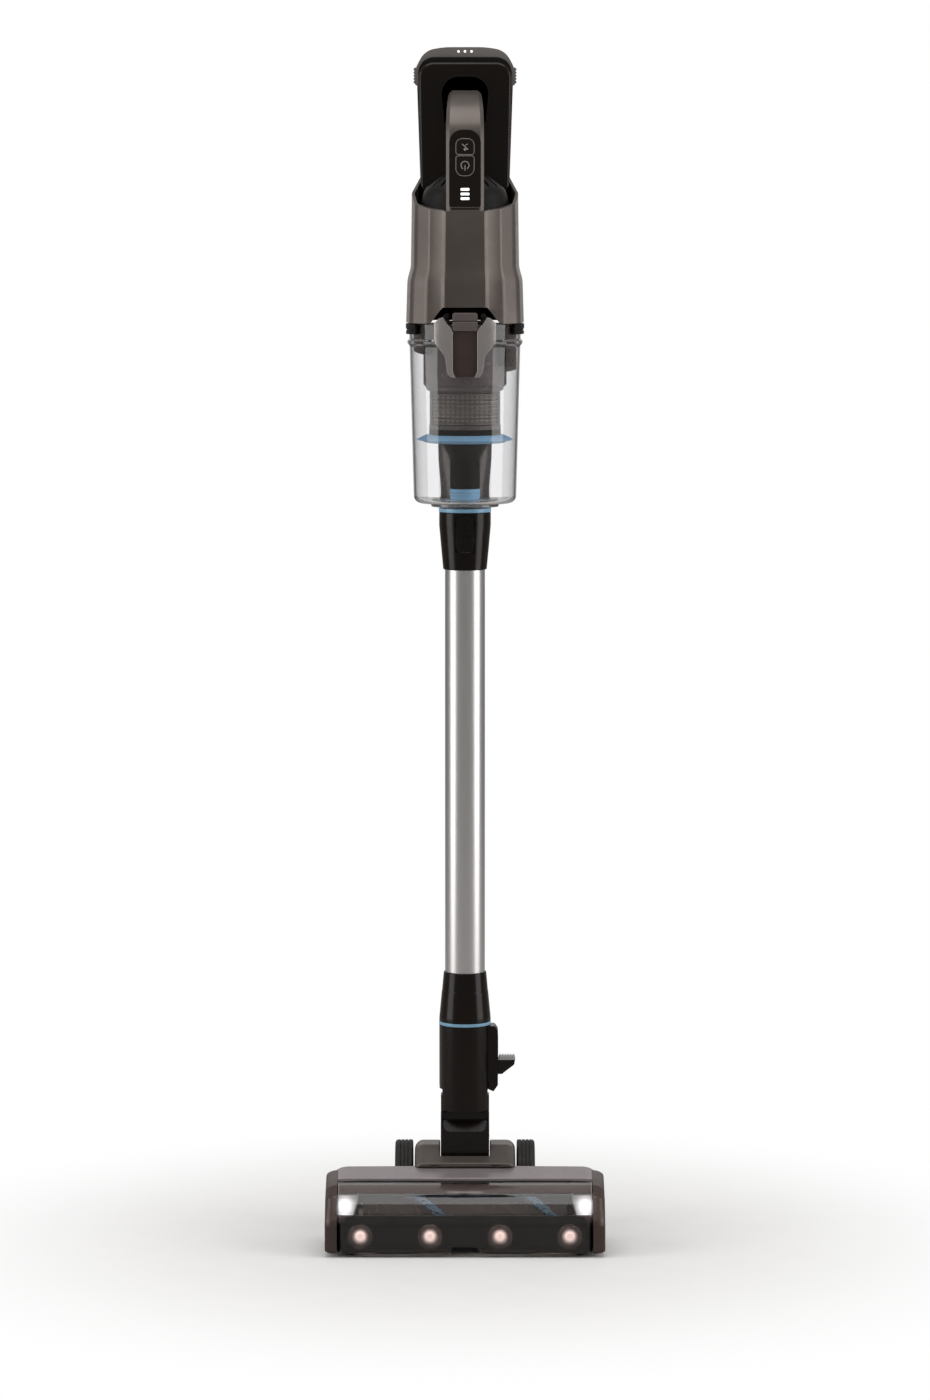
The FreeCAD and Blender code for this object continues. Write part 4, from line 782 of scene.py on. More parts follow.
bar = loft([[(x, y, z - 1.2 * shoulder_drop(x, 44, 9) / 9) for y, z in
             rounded([(-46 + shoulder_drop(x, 44, 9) * 0.8, 72.2, 0.8),
                      (-46 + shoulder_drop(x, 44, 9) * 0.8, 76.0, 1.6),
                      (-31, 81.2, 2), (-31, 76.6, 0.5)])]
            for x in [44 * math.sin(math.radians(a)) for a in range(-84, 85, 6)]])
piece("yoke_crossbar", bar, "head", GUNMETAL)
for mesh in (arm, hollow, pin_hole, boss):
    mesh.free()

# %% [markdown]
# The chassis is mostly hidden, so its engineering shape stays and only gets its finish. The same goes for
# the screws, the axles, the motor in the roll and every sealed part further up. A copy with rounded edges
# replaces the ones whose corners can be seen.

# %% Rounded copies of engineering parts


def rounded_copy(node_name, body, material, width, angle=38, rounds=2):
    """The engineering mesh with its flat facets merged and its corners rounded."""
    mesh = bmesh.new()
    mesh.from_mesh(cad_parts[node_name].data)
    mesh.transform(TO_FRAME.inverted())
    bmesh.ops.remove_doubles(mesh, verts=mesh.verts, dist=2e-3)
    bmesh.ops.dissolve_limit(mesh, angle_limit=math.radians(0.8), verts=mesh.verts, edges=mesh.edges)
    made = piece(node_name + "_shell", mesh, body, material, [node_name], smooth=angle)
    edge = made.modifiers.new("rounded edges", "BEVEL")
    edge.width, edge.segments, edge.limit_method = width * MM, rounds, "ANGLE"
    edge.angle_limit, edge.use_clamp_overlap = math.radians(angle), True
    made.modifiers.move(1, 0)
    return made


rounded_copy("tilt_knuckle", "neck", SATIN, 0.7)
rounded_copy("swivel_body", "upper_neck", PIANO, 0.6)
rounded_copy("release_pedal", "pedal", SATIN, 0.5)
rounded_copy("pedal_grip", "pedal", RIB_GREY, 0.2)

# %% [markdown]
# ## Wand
# The tube, its two moulded collars and the blue rings are all round, so each is one turned profile. A collar
# has a fine rolled lip where the tube enters it, and a shallow step where its two moulded halves meet.

# %% Wand
NECK_R, TUBE_R = 24.35, edges("wand_tube")[1].x
low, high = edges("wand_tube")
piece("wand_tube", turned([(TUBE_R, low.z, 0.3), (TUBE_R, high.z, 0.3), (TUBE_R - 1.2, high.z, 0.3),
                           (TUBE_R - 1.2, low.z, 0.3)]), "wand", ALUMINIUM, ["wand_tube"])
low, high = edges("wand_lower_collar")
RING_TOP = edges("swivel_ring")[1].z
PLUG_R, AIR_R = 20.3, 15.2
lower = turned([(AIR_R, low.z), (PLUG_R - 1, low.z, 0.8), (PLUG_R, low.z + 2, 0.5), (PLUG_R, RING_TOP + 0.2),
                (NECK_R, RING_TOP + 0.2, 0.5), (NECK_R - 0.1, RING_TOP + 4, 8), (21.9, 233.4, 0.2),
                (21.65, 233.9, 0.2),
                (20.1, high.z - 0.6, 0.4), (19.5, high.z, 0.3), (TUBE_R + 0.02, high.z - 0.4),
                (TUBE_R + 0.02, 206.2),
                (AIR_R, 206.2)])
keyway = slab([(17.6, low.z - 1), (22, low.z - 1), (22, 186.4), (17.6, 186.4)], "xz", -4.6, 4.6)
piece("lower_collar", lower, "wand", PIANO, ["wand_lower_collar"], cuts=[keyway])
low, high = edges("wand_upper_collar")
RING_LOW = edges("wand_ring")[0].z
upper = turned([(TUBE_R + 0.02, low.z + 0.3), (19.7, low.z, 0.3), (20.5, low.z + 0.8, 0.5),
                (22.5, low.z + 22, 60),
                (NECK_R - 0.05, RING_LOW - 12, 30), (NECK_R - 0.05, RING_LOW - 0.3, 0.5),
                (PLUG_R, RING_LOW - 0.3),
                (PLUG_R, 711, 0.5), (18.9, 713.0, 0.5), (16.2, 713.0), (16.2, 684.0), (TUBE_R + 0.02, 684.0)])
BUTTON_Z = (edges("wand_button")[0].z, edges("wand_button")[1].z)
recess = slab([(-9.1, BUTTON_Z[0] - 0.3, 1.8), (9.1, BUTTON_Z[0] - 0.3, 1.8), (9.1, BUTTON_Z[1] + 0.3, 1.8),
               (-9.1, BUTTON_Z[1] + 0.3, 1.8)], "xz", -30, -18)
piece("upper_collar", upper, "wand", PIANO, ["wand_upper_collar"], cuts=[recess], bevel=0.25,
      rounds=2)
rounded_copy("wand_button", "wand_key", SATIN, 0.4)
for node_name, body in (("swivel_ring", "upper_neck"), ("wand_ring", "hand_unit")):
    low, high = edges(node_name)
    hoop = turned([(PLUG_R + 0.3, low.z), (high.x, low.z, 0.5), (high.x, high.z, 0.5),
                   (PLUG_R + 0.3, high.z)])
    piece(node_name + "_hoop", hoop, body, BLUE, [node_name])

# %% [markdown]
# ## Dust cup
# The duct behind the cup starts round, over the wand's plug, and flattens to an oval beside the cup. It is
# lofted through ellipses, outside and inside, and closed at both ends.

# %% Intake duct
DUCT_LOW, DUCT_TOP = edges("intake_duct")[0].z, edges("intake_duct")[1].z


def ellipse(across, deep, z, count=96):
    return [(across * math.cos(math.tau * i / count), deep * math.sin(math.tau * i / count),
             z) for i in range(count)]


def ease(t):
    t = min(1.0, max(0.0, t))
    return t * t * (3 - 2 * t)


def duct_ring(z, outside):
    if outside:
        t = ease((z - 704) / 41)
        return ellipse(24.2 + 2.5 * t, 24.2 - 5.7 * t, z)
    if z < 718:
        return ellipse(20.6, 20.6, z)
    t = ease((z - 722) / 30)
    return ellipse(15.5 + 8.8 * t, 15.5 + 0.6 * t, z)


up = [DUCT_LOW, DUCT_LOW + 1, 704] + list(range(708, 748, 4)) + [800, DUCT_TOP - 0.6, DUCT_TOP]
down = [DUCT_TOP, 800] + list(range(752, 720, -4)) + [717.9, DUCT_LOW]
duct = loft([duct_ring(z, True) for z in up] + [duct_ring(z, False) for z in down], around=True)
port = slab([(-13, 842, 4), (13, 842, 4), (13, 861, 4), (-13, 861, 4)], "xz", -30, -5)
piece("intake_duct", duct, "hand_unit", DUCT, ["intake_duct"], cuts=[port])

# %% [markdown]
# The cup is blown clear and thick: an outer and an inner wall, a rolled bead near the top that stiffens it
# and a generous round at the foot. The emptying door is a disc with a raised rim.

# %% Cup and door
CUP_LOW, CUP_TOP = 700.0, edges("dust_cup")[1].z
FOOT_R, RIM_R, WALL = 47.1, 51.2, 2.0
cup = turned([(29.0, CUP_LOW, 0.6), (FOOT_R, CUP_LOW, 7), (FOOT_R + 3.8, 845.0, 4), (53.0, 847.0, 0.9),
              (53.0, 849.6, 0.9),
              (RIM_R, 851.0, 0.6), (RIM_R, CUP_TOP, 0.5), (RIM_R - WALL, CUP_TOP, 0.5),
              (RIM_R - WALL, 846, 3),
              (FOOT_R - WALL, CUP_LOW + WALL, 5.5), (29.0, CUP_LOW + WALL, 0.6)], (0, CUP_Y))
cup_port = slab([(-14, 840, 4), (14, 840, 4), (14, 862, 4), (-14, 862, 4)], "xz", -40, -10)
piece("clear_cup", cup, "cup", CLEAR, ["dust_cup"], cuts=[cup_port])
HINGE_Y, HINGE_Z = -39.2, 697.4
ear = slab([(HINGE_Y - 2.4, HINGE_Z - 2.0, 1.6), (HINGE_Y + 2.4, HINGE_Z - 2.0, 1.6),
            (HINGE_Y + 2.4, CUP_LOW + 0.3),
            (HINGE_Y - 2.4, CUP_LOW + 0.3)], "yz", 9.4, 12.4)
bar = turned([(0, -10.5), (1.2, -10.5), (1.2, 10.5), (0, 10.5)], (HINGE_Y, HINGE_Z), axis="x")
piece("hinge_bar", together(both(ear), bar), "cup", CLEAR, bevel=0.25, rounds=2)
DOOR_R = 31.4
door = turned([(0, 697.2), (22, 697.2, 2), (24, 696.7, 0.5), (DOOR_R - 0.4, 696.7, 0.6), (DOOR_R, 699.4, 0.4),
               (DOOR_R - 3, 699.5, 0.3), (27, 698.6, 1), (0, 699.0)], (0, CUP_Y))
lip = slab([(-5, 697.2, 0.8), (5, 697.2, 0.8), (5, 699.4, 0.8), (-5, 699.4, 0.8)], "xz", CUP_Y - DOOR_R - 2.2,
           CUP_Y - DOOR_R + 0.2)
snap = turned([(1.3, -9), (2.2, -9, 0.2), (2.2, 9, 0.2), (1.3, 9)], (HINGE_Y, HINGE_Z), axis="x")
piece("clear_door", together(door, lip, snap), "door", CLEAR, ["cup_door"])

# %% [markdown]
# Inside the cup hangs the cyclone: a grey drum, a dark step, a steel screen set between two plain pillars,
# the blue wiper skirt and the fine-dust funnel whose foot closes on a blue seal. The screen is pleated in
# nine level folds, so its profile is a zigzag.

# %% Cyclone
DRUM_R = edges("cyclone_body")[1].x
DRUM_LOW, DRUM_TOP = edges("cyclone_body")[0].z, edges("cyclone_body")[1].z
drum = turned([(DRUM_R - 2.2, DRUM_TOP), (DRUM_R, DRUM_TOP, 0.4), (DRUM_R, 809.0, 3), (36.0, 807.2, 0.6),
               (35.4, 805.0, 0.6),
               (34.6, DRUM_LOW, 0.5), (29.6, DRUM_LOW), (29.6, 809), (DRUM_R - 2.2, 809)], (0, CUP_Y))
piece("cyclone_drum", drum, "cup", CYCLONE, ["cyclone_body"])
SCREEN_LOW, SCREEN_TOP, SCREEN_R = 771.6, 802.6, 31.6
FOLDS = 9
fold = (SCREEN_TOP - SCREEN_LOW) / FOLDS
zigzag = [(28.8, SCREEN_LOW)]
for i in range(FOLDS):
    z = SCREEN_LOW + i * fold
    zigzag += [(SCREEN_R - 2.2, z + 0.02, 0.1), (SCREEN_R, z + fold * 0.5, 0.5)]
zigzag += [(SCREEN_R - 2.2, SCREEN_TOP), (28.8, SCREEN_TOP)]
piece("pleated_screen", turned(zigzag, (0, CUP_Y), steps=3), "cup", SCREEN, ["mesh_filter"])
cage = together(
    turned([(29.0, 768.2), (33.0, 768.2, 0.5), (33.0, SCREEN_LOW + 0.6, 0.5), (29.0, SCREEN_LOW + 0.6)],
           (0, CUP_Y)),
    turned([(29.0, SCREEN_TOP - 0.4), (32.6, SCREEN_TOP - 0.4, 0.4), (32.6, 803.5, 0.2), (29.0, 803.5)],
           (0, CUP_Y)),
    *[turned([(29.2, SCREEN_LOW), (32.5, SCREEN_LOW, 0.3), (32.5, SCREEN_TOP, 0.3), (29.2, SCREEN_TOP)],
             (0, CUP_Y),
             start=start, sweep=38) for start in (-19, 161)])
piece("screen_cage", cage, "cup", CYCLONE)
low, high = edges("wiper_skirt")
skirt = turned([(20.1, low.z + 0.2), (35.5, low.z + 0.2, 2), (38.4, 757.0, 2), (high.x - 0.3, 758.3, 0.4),
                (high.x, 759.0, 0.3),
                (38.4, 761.8, 2), (35.5, high.z, 1.5), (20.1, high.z)], (0, CUP_Y))
piece("wiper_skirt", skirt, "cup", SILICONE, ["wiper_skirt"])
FINE_R = edges("tube_seal")[1].x
funnel = turned([(FINE_R - 2, 713.3), (FINE_R, 713.3, 0.5), (FINE_R, 740.5, 5), (21.6, 754.0, 1),
                 (21.9, 755.2, 0.3),
                 (20.0, 755.3), (20.0, 763.1), (33.0, 763.1, 0.4), (33.0, 768.0, 0.5), (27, 768.1),
                 (18, 764), (18, 755.3),
                 (FINE_R - 2, 743)], (0, CUP_Y))
piece("fine_dust_funnel", funnel, "cup", SOOT, ["fine_dust_tube"])
low, high = edges("tube_seal")
seal_profile = [(0, low.z), (FINE_R - 0.8, low.z, 0.5)]
for z in (703.4, 706.4, 709.4):
    seal_profile += [(FINE_R, z - 0.7, 0.3), (FINE_R - 0.7, z, 0.3), (FINE_R, z + 0.7, 0.3)]
seal_profile += [(FINE_R, high.z - 0.05, 0.4), (0, high.z - 0.05)]
piece("funnel_seal", turned(seal_profile, (0, CUP_Y), steps=3), "cup", SILICONE, ["tube_seal"])

# %% [markdown]
# The inlet ramp winds down between the drum and the cup's wall and starts the air spinning. It is a helix:
# its foot is at one height on the left and 18 mm lower on the right, and its section is lofted round the
# drum. Two stepped black grips hold the cup to the housing.

# %% Ramp and grips
RAMP_IN, RAMP_OUT, RAMP_TOP = DRUM_R + 0.2, 47.4, DRUM_TOP - 0.4


def ramp_foot(angle):
    """Height of the ramp's underside; angles run from the right (0) through the front (-90) to the left."""
    return 823.0 + 18.0 * (-angle) / 180


def ramp_part(first, last):
    rings = []
    for i in range(41):
        angle = first + (last - first) * i / 40
        c, s = math.cos(math.radians(angle)), math.sin(math.radians(angle))
        foot = ramp_foot(angle)
        rings.append([(r * c, CUP_Y + r * s, z) for r, z in rounded([
            (RAMP_IN, foot, 0.6), (RAMP_OUT, foot, 0.6), (RAMP_OUT, RAMP_TOP, 0.5),
            (RAMP_IN, RAMP_TOP, 0.5)], 3)])
    return loft(rings)


piece("inlet_ramp", together(ramp_part(35, -38), ramp_part(-142, -215)), "cup", DUCT,
      ["cyclone_ramp"],
      bevel=0.4, rounds=2)
low, high = edges("cup_grips")
GRIP_STEPS = [(RIM_R + 0.1, low.z), (54.3, low.z, 0.5), (54.3, 858.4, 0.5), (53.4, 859.0, 0.2),
              (54.5, 861.6, 0.4),
              (54.5, high.z, 0.5), (RIM_R + 0.1, high.z)]
grip_part = turned(GRIP_STEPS, (0, CUP_Y), start=-33, sweep=66)
piece("cup_grips", both(grip_part), "cup", DEEP, ["cup_grips"], bevel=0.4, rounds=2)

# %% [markdown]
# The latch on the cup's front is a bright shield with a dark channel down its middle, a two-step button
# above it and a small pivot on each side. It follows the round of the cup, so it is drawn flat and wrapped.

# %% Latch
WRAP_R = 57.2


def wrapped(mesh, radius=WRAP_R, cuts=20):
    """Bends a flat front piece about the cup's axis; its y is the height above the given radius."""
    reach = 30.0
    for i in range(1, cuts):
        x = -reach + 2 * reach * i / cuts
        geometry = mesh.verts[:] + mesh.edges[:] + mesh.faces[:]
        bmesh.ops.bisect_plane(mesh, geom=geometry, plane_co=(x, 0, 0), plane_no=(1, 0, 0))
    for v in mesh.verts:
        a, r = v.co.x / radius, radius - v.co.y
        v.co.x, v.co.y = r * math.sin(a), CUP_Y - r * math.cos(a)
    return mesh


WING = [(11.4, 858.6), (12.6, 862.0), (16.0, 865.0), (20.5, 872.0, 1.5), (24.0, 871.0, 1.5),
        (29.6, 866.2, 1.5),
        (29.2, 849.0, 4), (18.6, 836.4, 5), (16.4, 822.0, 3), (13.8, 817.3, 2), (9.0, 817.3),
        (11.4, 823.0, 3)]
wing = wrapped(slab(WING, "xz", 0.0, 5.2, 4))
piece("latch_wings", both(wing), "cup", BRIGHT, ["cup_latch_frame"], bevel=0.7, rounds=3)
CHANNEL = [(-11.6, 859.0), (-11.6, 822.0, 3), (-9.6, 817.5, 1), (9.6, 817.5, 1), (11.6, 822.0, 3),
           (11.6, 859.0)]
piece("latch_channel", wrapped(slab(CHANNEL, "xz", 2.6, 5.0, 4)), "cup", BROWN, bevel=0.3,
      rounds=2)
plate = slab([(-8.2, 819.6, 2.4), (8.2, 819.6, 2.4), (8.2, 835.0, 2.4), (-8.2, 835.0, 2.4)], "xz", 2.2, 2.8)
window_cut = slab([(-7.6, 820.2, 2), (7.6, 820.2, 2), (7.6, 834.4, 2), (-7.6, 834.4, 2)], "xz", 2.0, 2.5)
piece("channel_panel", wrapped(plate), "cup", BROWN, cuts=[wrapped(window_cut)])
low_tier = slab([(-11.0, 859.4, 1.5), (11.0, 859.4, 1.5), (11.6, 868.0, 1.0), (-11.6, 868.0, 1.0)], "xz",
                -0.4, 3.4)
high_tier = slab([(-11.6, 868.6, 1.0), (11.6, 868.6, 1.0), (11.6, 876.0, 2.0), (-11.6, 876.0, 2.0)], "xz",
                 0.2, 3.4)
piece("latch_button", wrapped(together(low_tier, high_tier)), "cup_key", CYCLONE,
      ["cup_latch_button"],
      bevel=0.6)
pivots = []
for z in (867.8, 873.2):
    eight = [(17.2 + 2.7 * math.cos(math.radians(22.5 + 45 * k)),
              z + 2.4 * math.sin(math.radians(22.5 + 45 * k)), 0.2)
             for k in range(8)]
    pivots.append(slab(eight, "xz", 0.2, 4.0, 1))
piece("latch_pivots", both(wrapped(together(*pivots))), "cup", SATIN, bevel=0.3, rounds=2)

# %% [markdown]
# ## Hand unit
# The motor housing is the largest moulding. In plan it has a flat strip in front, two narrow bevels that
# catch the light, and a soft lobe on each side. It widens below a shoulder, and its open rim slants up to
# the back. So it is lofted through plans whose sizes are simple functions of height, outside and inside.

# %% Motor housing
BODY_LOW, BODY_BACK, BODY_WALL = edges("motor_housing")[0].z, edges("motor_housing")[1].y, 2.6
RIM_FRONT_Z, RIM_SLOPE, RIM_FRONT_Y = 967.6, 0.263, -125.0


def between(z, low, high, at_low, at_high):
    return at_low + (at_high - at_low) * min(1.0, max(0.0, (z - low) / (high - low)))


def shoulder(z, lower, upper):
    """A size that steps smoothly from its lower to its upper value at the shoulder."""
    return lower + (upper - lower) * ease((z - 902) / 18)


def plan(z, inset=0.0):
    """Plan of the housing at a height: strip, bevel, lobe, side and squarer back."""
    w = shoulder(z, between(z, BODY_LOW, 902, 54.5, 53.4), between(z, 920, 1012, 50.0, 48.6)) - inset
    s = shoulder(z, 18.4, between(z, 920, 1012, 17.8, 17.2)) - inset * 0.4
    f = shoulder(z, between(z, BODY_LOW, 902, -129.2, -128.2), between(z, 920, 1012, -127.0, -124.0)) + inset
    lobe = shoulder(z, 12, 8)
    back = BODY_BACK - inset
    side = [(s, f), (s + 4.0, f + 4.2), (0.66 * w, f + 9.5, lobe), (0.93 * w, f + 24, 16), (w, -62.0, 40),
            (0.80 * w, back - 12, 12), (0.62 * w, back, 9)]
    return rounded(side + [(-corner[0], *corner[1:]) for corner in reversed(side)], 7)


def rim_z(y):
    return RIM_FRONT_Z + RIM_SLOPE * (y - RIM_FRONT_Y)


def housing_rows(inset, bottom):
    """Level rows up to the rim's lowest part, then rows that slant up with it."""
    rows = [[(x, y, z) for x, y in plan(z, inset)] for z in [bottom, 880, 895, *range(901, 922, 2), 930, 948]]
    for k in (0.25, 0.5, 0.75, 0.97, 1.0):
        rows.append([(x, y, 948 + (rim_z(y) - 948) * k) for x, y in plan(948 + 30 * k, inset)])
    return rows


shell = loft(housing_rows(0.0, BODY_LOW) + housing_rows(BODY_WALL, BODY_LOW)[::-1], around=True)
NOTCH = [(-34, BODY_LOW - 2), (-31.0, 867.0, 2), (-20.4, 880.8, 3), (20.4, 880.8, 3), (31.0, 867.0, 2),
         (34, BODY_LOW - 2)]


def facing_back(mesh, x, y, z):
    """Lays a turned mesh down so that its axis points to the back."""
    bmesh.ops.rotate(mesh, matrix=Matrix.Rotation(math.radians(-90), 3, "X"), verts=mesh.verts)
    return moved(mesh, x, y, z)


PORT_R, PORT_Z = 2.8, 940.0
port_hole = facing_back(turned([(0, -20), (PORT_R, -20), (PORT_R, 5), (0, 5)]), 0, BODY_BACK, PORT_Z)
piece("motor_housing", shell, "hand_unit", GUNMETAL, ["motor_housing"],
      cuts=[slab(NOTCH, "xz", -140, -113), port_hole], bevel=0.45, rounds=2, smooth=28)
port = facing_back(turned([(PORT_R, -13), (5.6, -13, 0.5), (5.6, -2.7), (PORT_R, -2.7)]), 0, BODY_BACK,
                   PORT_Z)
port_ring = facing_back(turned([(PORT_R, -1.0), (4.4, -1.0), (4.4, 0.0, 0.3), (PORT_R, 0.0, 0.3)]), 0,
                        BODY_BACK, PORT_Z)
bulkhead = loft([[(x, y, z) for x, y in plan(BODY_LOW, 2.9)] for z in (BODY_LOW + 3, BODY_LOW + 6)])
inlet_eye = turned([(0, 860), (26, 860), (26, 880), (0, 880)], (0, CUP_Y))
latch_room = slab([(-34, 860), (34, 860), (34, 880), (-34, 880)], "xz", -140, -112)
piece("bulkhead", bulkhead, "hand_unit", DEEP, cuts=[inlet_eye, latch_room], bevel=0.4,
      rounds=2)
shroud = turned([(30.7, BODY_LOW + 3), (32.8, BODY_LOW + 3), (32.8, 946, 0.6), (30.7, 946, 0.6)], (0, CUP_Y))
piece("motor_shroud", shroud, "hand_unit", DEEP)
piece("charging_port", together(port, port_ring), "hand_unit", SATIN)

# %% [markdown]
# The grip rises from the housing's strip, leans back six degrees and bends over into the battery dock. Its
# spine is a straight run and then one cubic curve. The section has a flat front with two bevelled edges
# that catch the light, and becomes rounder on its way over, so that it ends as an arch.

# %% Grip
LEAN = math.radians(6.0)
FACE = Vector((-122.2, 985.0))              # a point of the grip's front face, y and z
DOCK_Y = edges("battery_dock")[0].y + 5.0   # front of the dock's plate
THICK = 30.0


def face_point(z, depth):
    """A point behind height z of the leaning front face."""
    y = FACE.x + (z - FACE.y) * math.tan(LEAN)
    return Vector((y + depth * math.cos(LEAN), z - depth * math.sin(LEAN)))


def grip_ring(spine, lean, across, thick, arch):
    """Section of the grip about a point of its spine; arch rounds its front edges."""
    a, t = across / 2, thick / 2
    corners = [(-a + 3.2, -t, 0.6 + arch), (a - 3.2, -t, 0.6 + arch), (a, -t + 3.4, 0.8 + arch * 0.5),
               (a - 1.4, t, 9),
               (-a + 1.4, t, 9), (-a, -t + 3.4, 0.8 + arch * 0.5)]
    ring = []
    for u, v in rounded(corners, 6):
        ring.append((u, spine.x + v * math.cos(lean), spine.y - v * math.sin(lean)))
    return ring


start_point, end_point = face_point(1034, THICK / 2), Vector((DOCK_Y + 2.0, 1065.3))
lift = Vector((math.sin(LEAN), math.cos(LEAN)))
reach_up, reach_in = start_point + lift * 23, end_point - Vector((27, 0))
grip_rings = [grip_ring(face_point(z, THICK / 2), LEAN, 34.6, THICK, 0) for z in (957.6, 975, 1000, 1020)]
for i in range(19):
    t = i / 18
    spine = ((1 - t) ** 3 * start_point + 3 * (1 - t) ** 2 * t * reach_up + 3 * (1 - t) * t ** 2 * reach_in
             + t ** 3 * end_point)
    way = (3 * (1 - t) ** 2 * (reach_up - start_point) + 6 * (1 - t) * t * (reach_in - reach_up)
           + 3 * t ** 2 * (end_point - reach_in))
    grip_rings.append(grip_ring(spine, math.atan2(way.x, way.y), 34.6 - 4.6 * ease(t), THICK - 3.4 * t,
                                1.9 * ease(t)))
piece("handle_grip", loft(grip_rings), "hand_unit", GUNMETAL, ["handle_grip"], smooth=26)


def leaned(mesh):
    """Tips a piece drawn upright at the front face back to lie along it."""
    bmesh.ops.rotate(mesh, cent=(0, FACE.x, FACE.y), matrix=Matrix.Rotation(-LEAN, 3, "X"), verts=mesh.verts)
    return mesh


# %% [markdown]
# The control panel is a strip of piano black let into the grip, with two keys in fine light outlines and
# three charge bars. The key signs are a plain slash with a dot and the usual broken ring of a power key.

# %% Panel and keys
FACE_Y = FACE.x


def panel_slab(half, z0, z1, low_round, high_round, front, back):
    return leaned(slab([(-half, z0, low_round), (half, z0, low_round), (half, z1, high_round),
                        (-half, z1, high_round)],
                       "xz", FACE_Y + front, FACE_Y + back, 8))


POWER, MODE = (1000.4, 1017.6, 6.5, 2.2), (1019.8, 1033.2, 2.2, 5.5)
panel = panel_slab(14.4, 971.7, 1041.8, 2, 12, -0.35, 2.5)
piece("control_panel", panel, "hand_unit", PIANO, ["control_panel"],
      cuts=[panel_slab(8.05, z0 - 0.25, z1 + 0.25, r0, r1, -2, 6) for z0, z1, r0, r1 in (POWER, MODE)],
      bevel=0.25, rounds=2)
for name, (z0, z1, r0, r1) in (("power", POWER), ("mode", MODE)):
    piece(name + "_key", panel_slab(7.75, z0, z1, r0, r1, -0.9, 3.2), name + "_key", SATIN,
          [name + "_button"], bevel=0.5)
    frame_ring = panel_slab(8.6, z0 - 0.8, z1 + 0.8, r0 + 0.6, r1 + 0.6, -0.62, 0.4)
    opening = panel_slab(8.15, z0 - 0.35, z1 + 0.35, r0, r1, -2, 2)
    piece(name + "_key_outline", frame_ring, "hand_unit", MARK, cuts=[opening])
groove = panel_slab(12.6, 969.2, 970.6, 0.5, 0.5, -0.1, 1.5)
piece("panel_groove", groove, "hand_unit", DEEP)


def arc_band(centre_z, radius, width, first, last):
    """A flat curved band on the face: angles run from the right through the top, in degrees."""
    angles = [math.radians(first + (last - first) * i / 24) for i in range(25)]
    line = [((radius + width / 2) * math.cos(a),
             centre_z + (radius + width / 2) * math.sin(a)) for a in angles]
    line += [((radius - width / 2) * math.cos(a),
              centre_z + (radius - width / 2) * math.sin(a)) for a in reversed(angles)]
    return leaned(loft([[(u, FACE_Y + y, v) for u, v in line] for y in (-1.05, -0.7)]))


def bar_band(x0, z0, x1, z1, width):
    along = Vector((x1 - x0, z1 - z0)).normalized() * width / 2
    across = Vector((-along.y, along.x))
    ends = [Vector((x0, z0)) - across, Vector((x1, z1)) - across, Vector((x1, z1)) + across,
            Vector((x0, z0)) + across]
    return leaned(slab([(p.x, p.y) for p in ends], "xz", FACE_Y - 1.05, FACE_Y - 0.7))


power_sign = together(arc_band(1009.4, 3.6, 0.8, -60, 240), bar_band(0, 1004.6, 0, 1009.6, 0.8))
piece("power_sign", power_sign, "power_key", MARK)
mode_sign = together(bar_band(-2.6, 1028.8, 2.8, 1023.6, 0.9), arc_band(1023.8, 0.7, 1.0, 0, 359.9),
                     bar_band(0.2, 1027.6, 2.6, 1028.9, 0.6))
piece("mode_sign", mode_sign, "mode_key", MARK)

# %% [markdown]
# The battery dock is a tall plate with soft edges, a raised horseshoe that receives the grip, a thin flange
# and a cradle for the pack. The horseshoe is a plate with a dish sunk in it, which leaves a narrow rim.

# %% Battery dock
DOCK_BACK, FLANGE_TOP = edges("battery_dock")[1].y, edges("battery_dock")[1].z
PACK_SPLIT, DOCK_TOP = 1084.5, 1104.6
below_rim = slab([(-160, 800), (-160, rim_z(-160) + 0.6), (60, rim_z(60) + 0.6), (60, 800)], "yz", -80, 80)
plate = slab([(-40.6, 972), (-43.0, DOCK_TOP, 14), (43.0, DOCK_TOP, 14), (40.6, 972)], "xz", DOCK_Y, -28.0, 8)
piece("dock_plate", plate, "hand_unit", PIANO, ["battery_dock"], bevel=3.2, rounds=5)
flange = slab([(-41.0, 1012), (-43.8, FLANGE_TOP, 15), (43.8, FLANGE_TOP, 15), (41.0, 1012)], "xz", -30.2,
              -27.7, 8)
piece("dock_flange", flange, "hand_unit", SATIN, bevel=0.6)
cradle = slab([(-41.0, 985), (-44.3, PACK_SPLIT - 0.5), (44.3, PACK_SPLIT - 0.5), (41.0, 985)], "xz",
              -28.4, DOCK_BACK)
pocket = slab([(-38.4, 1006), (38.4, 1006), (38.4, 1130), (-38.4, 1130)], "xz", -25.5, 21.5)
corner_one = slab([(40, DOCK_BACK + 1), (46, DOCK_BACK + 1), (46, DOCK_BACK - 6)], "xy", 980, 1090)
piece("dock_cradle", cradle, "hand_unit", SATIN, cuts=[pocket, below_rim, both(corner_one)],
      bevel=1.2)
HORSESHOE = [(-19.5, 1047, 5), (19.5, 1047, 5), (24.4, 1092.6, 17), (-24.4, 1092.6, 17)]
DISH = [(-18.2, 1040), (18.2, 1040), (22.9, 1091.0, 15.6), (-22.9, 1091.0, 15.6)]
boss_plate = slab(HORSESHOE, "xz", DOCK_Y - 4.8, DOCK_Y + 1, 10)
piece("grip_socket", boss_plate, "hand_unit", PIANO,
      cuts=[slab(DISH, "xz", DOCK_Y - 9, DOCK_Y - 1.2, 10)],
      bevel=0.45)

# %% [markdown]
# The battery pack slides in from above. What shows is its grey cap: a crowned arc over the dock with fine
# texture, three white lights on its front edge and a ribbed squeeze key on each side.

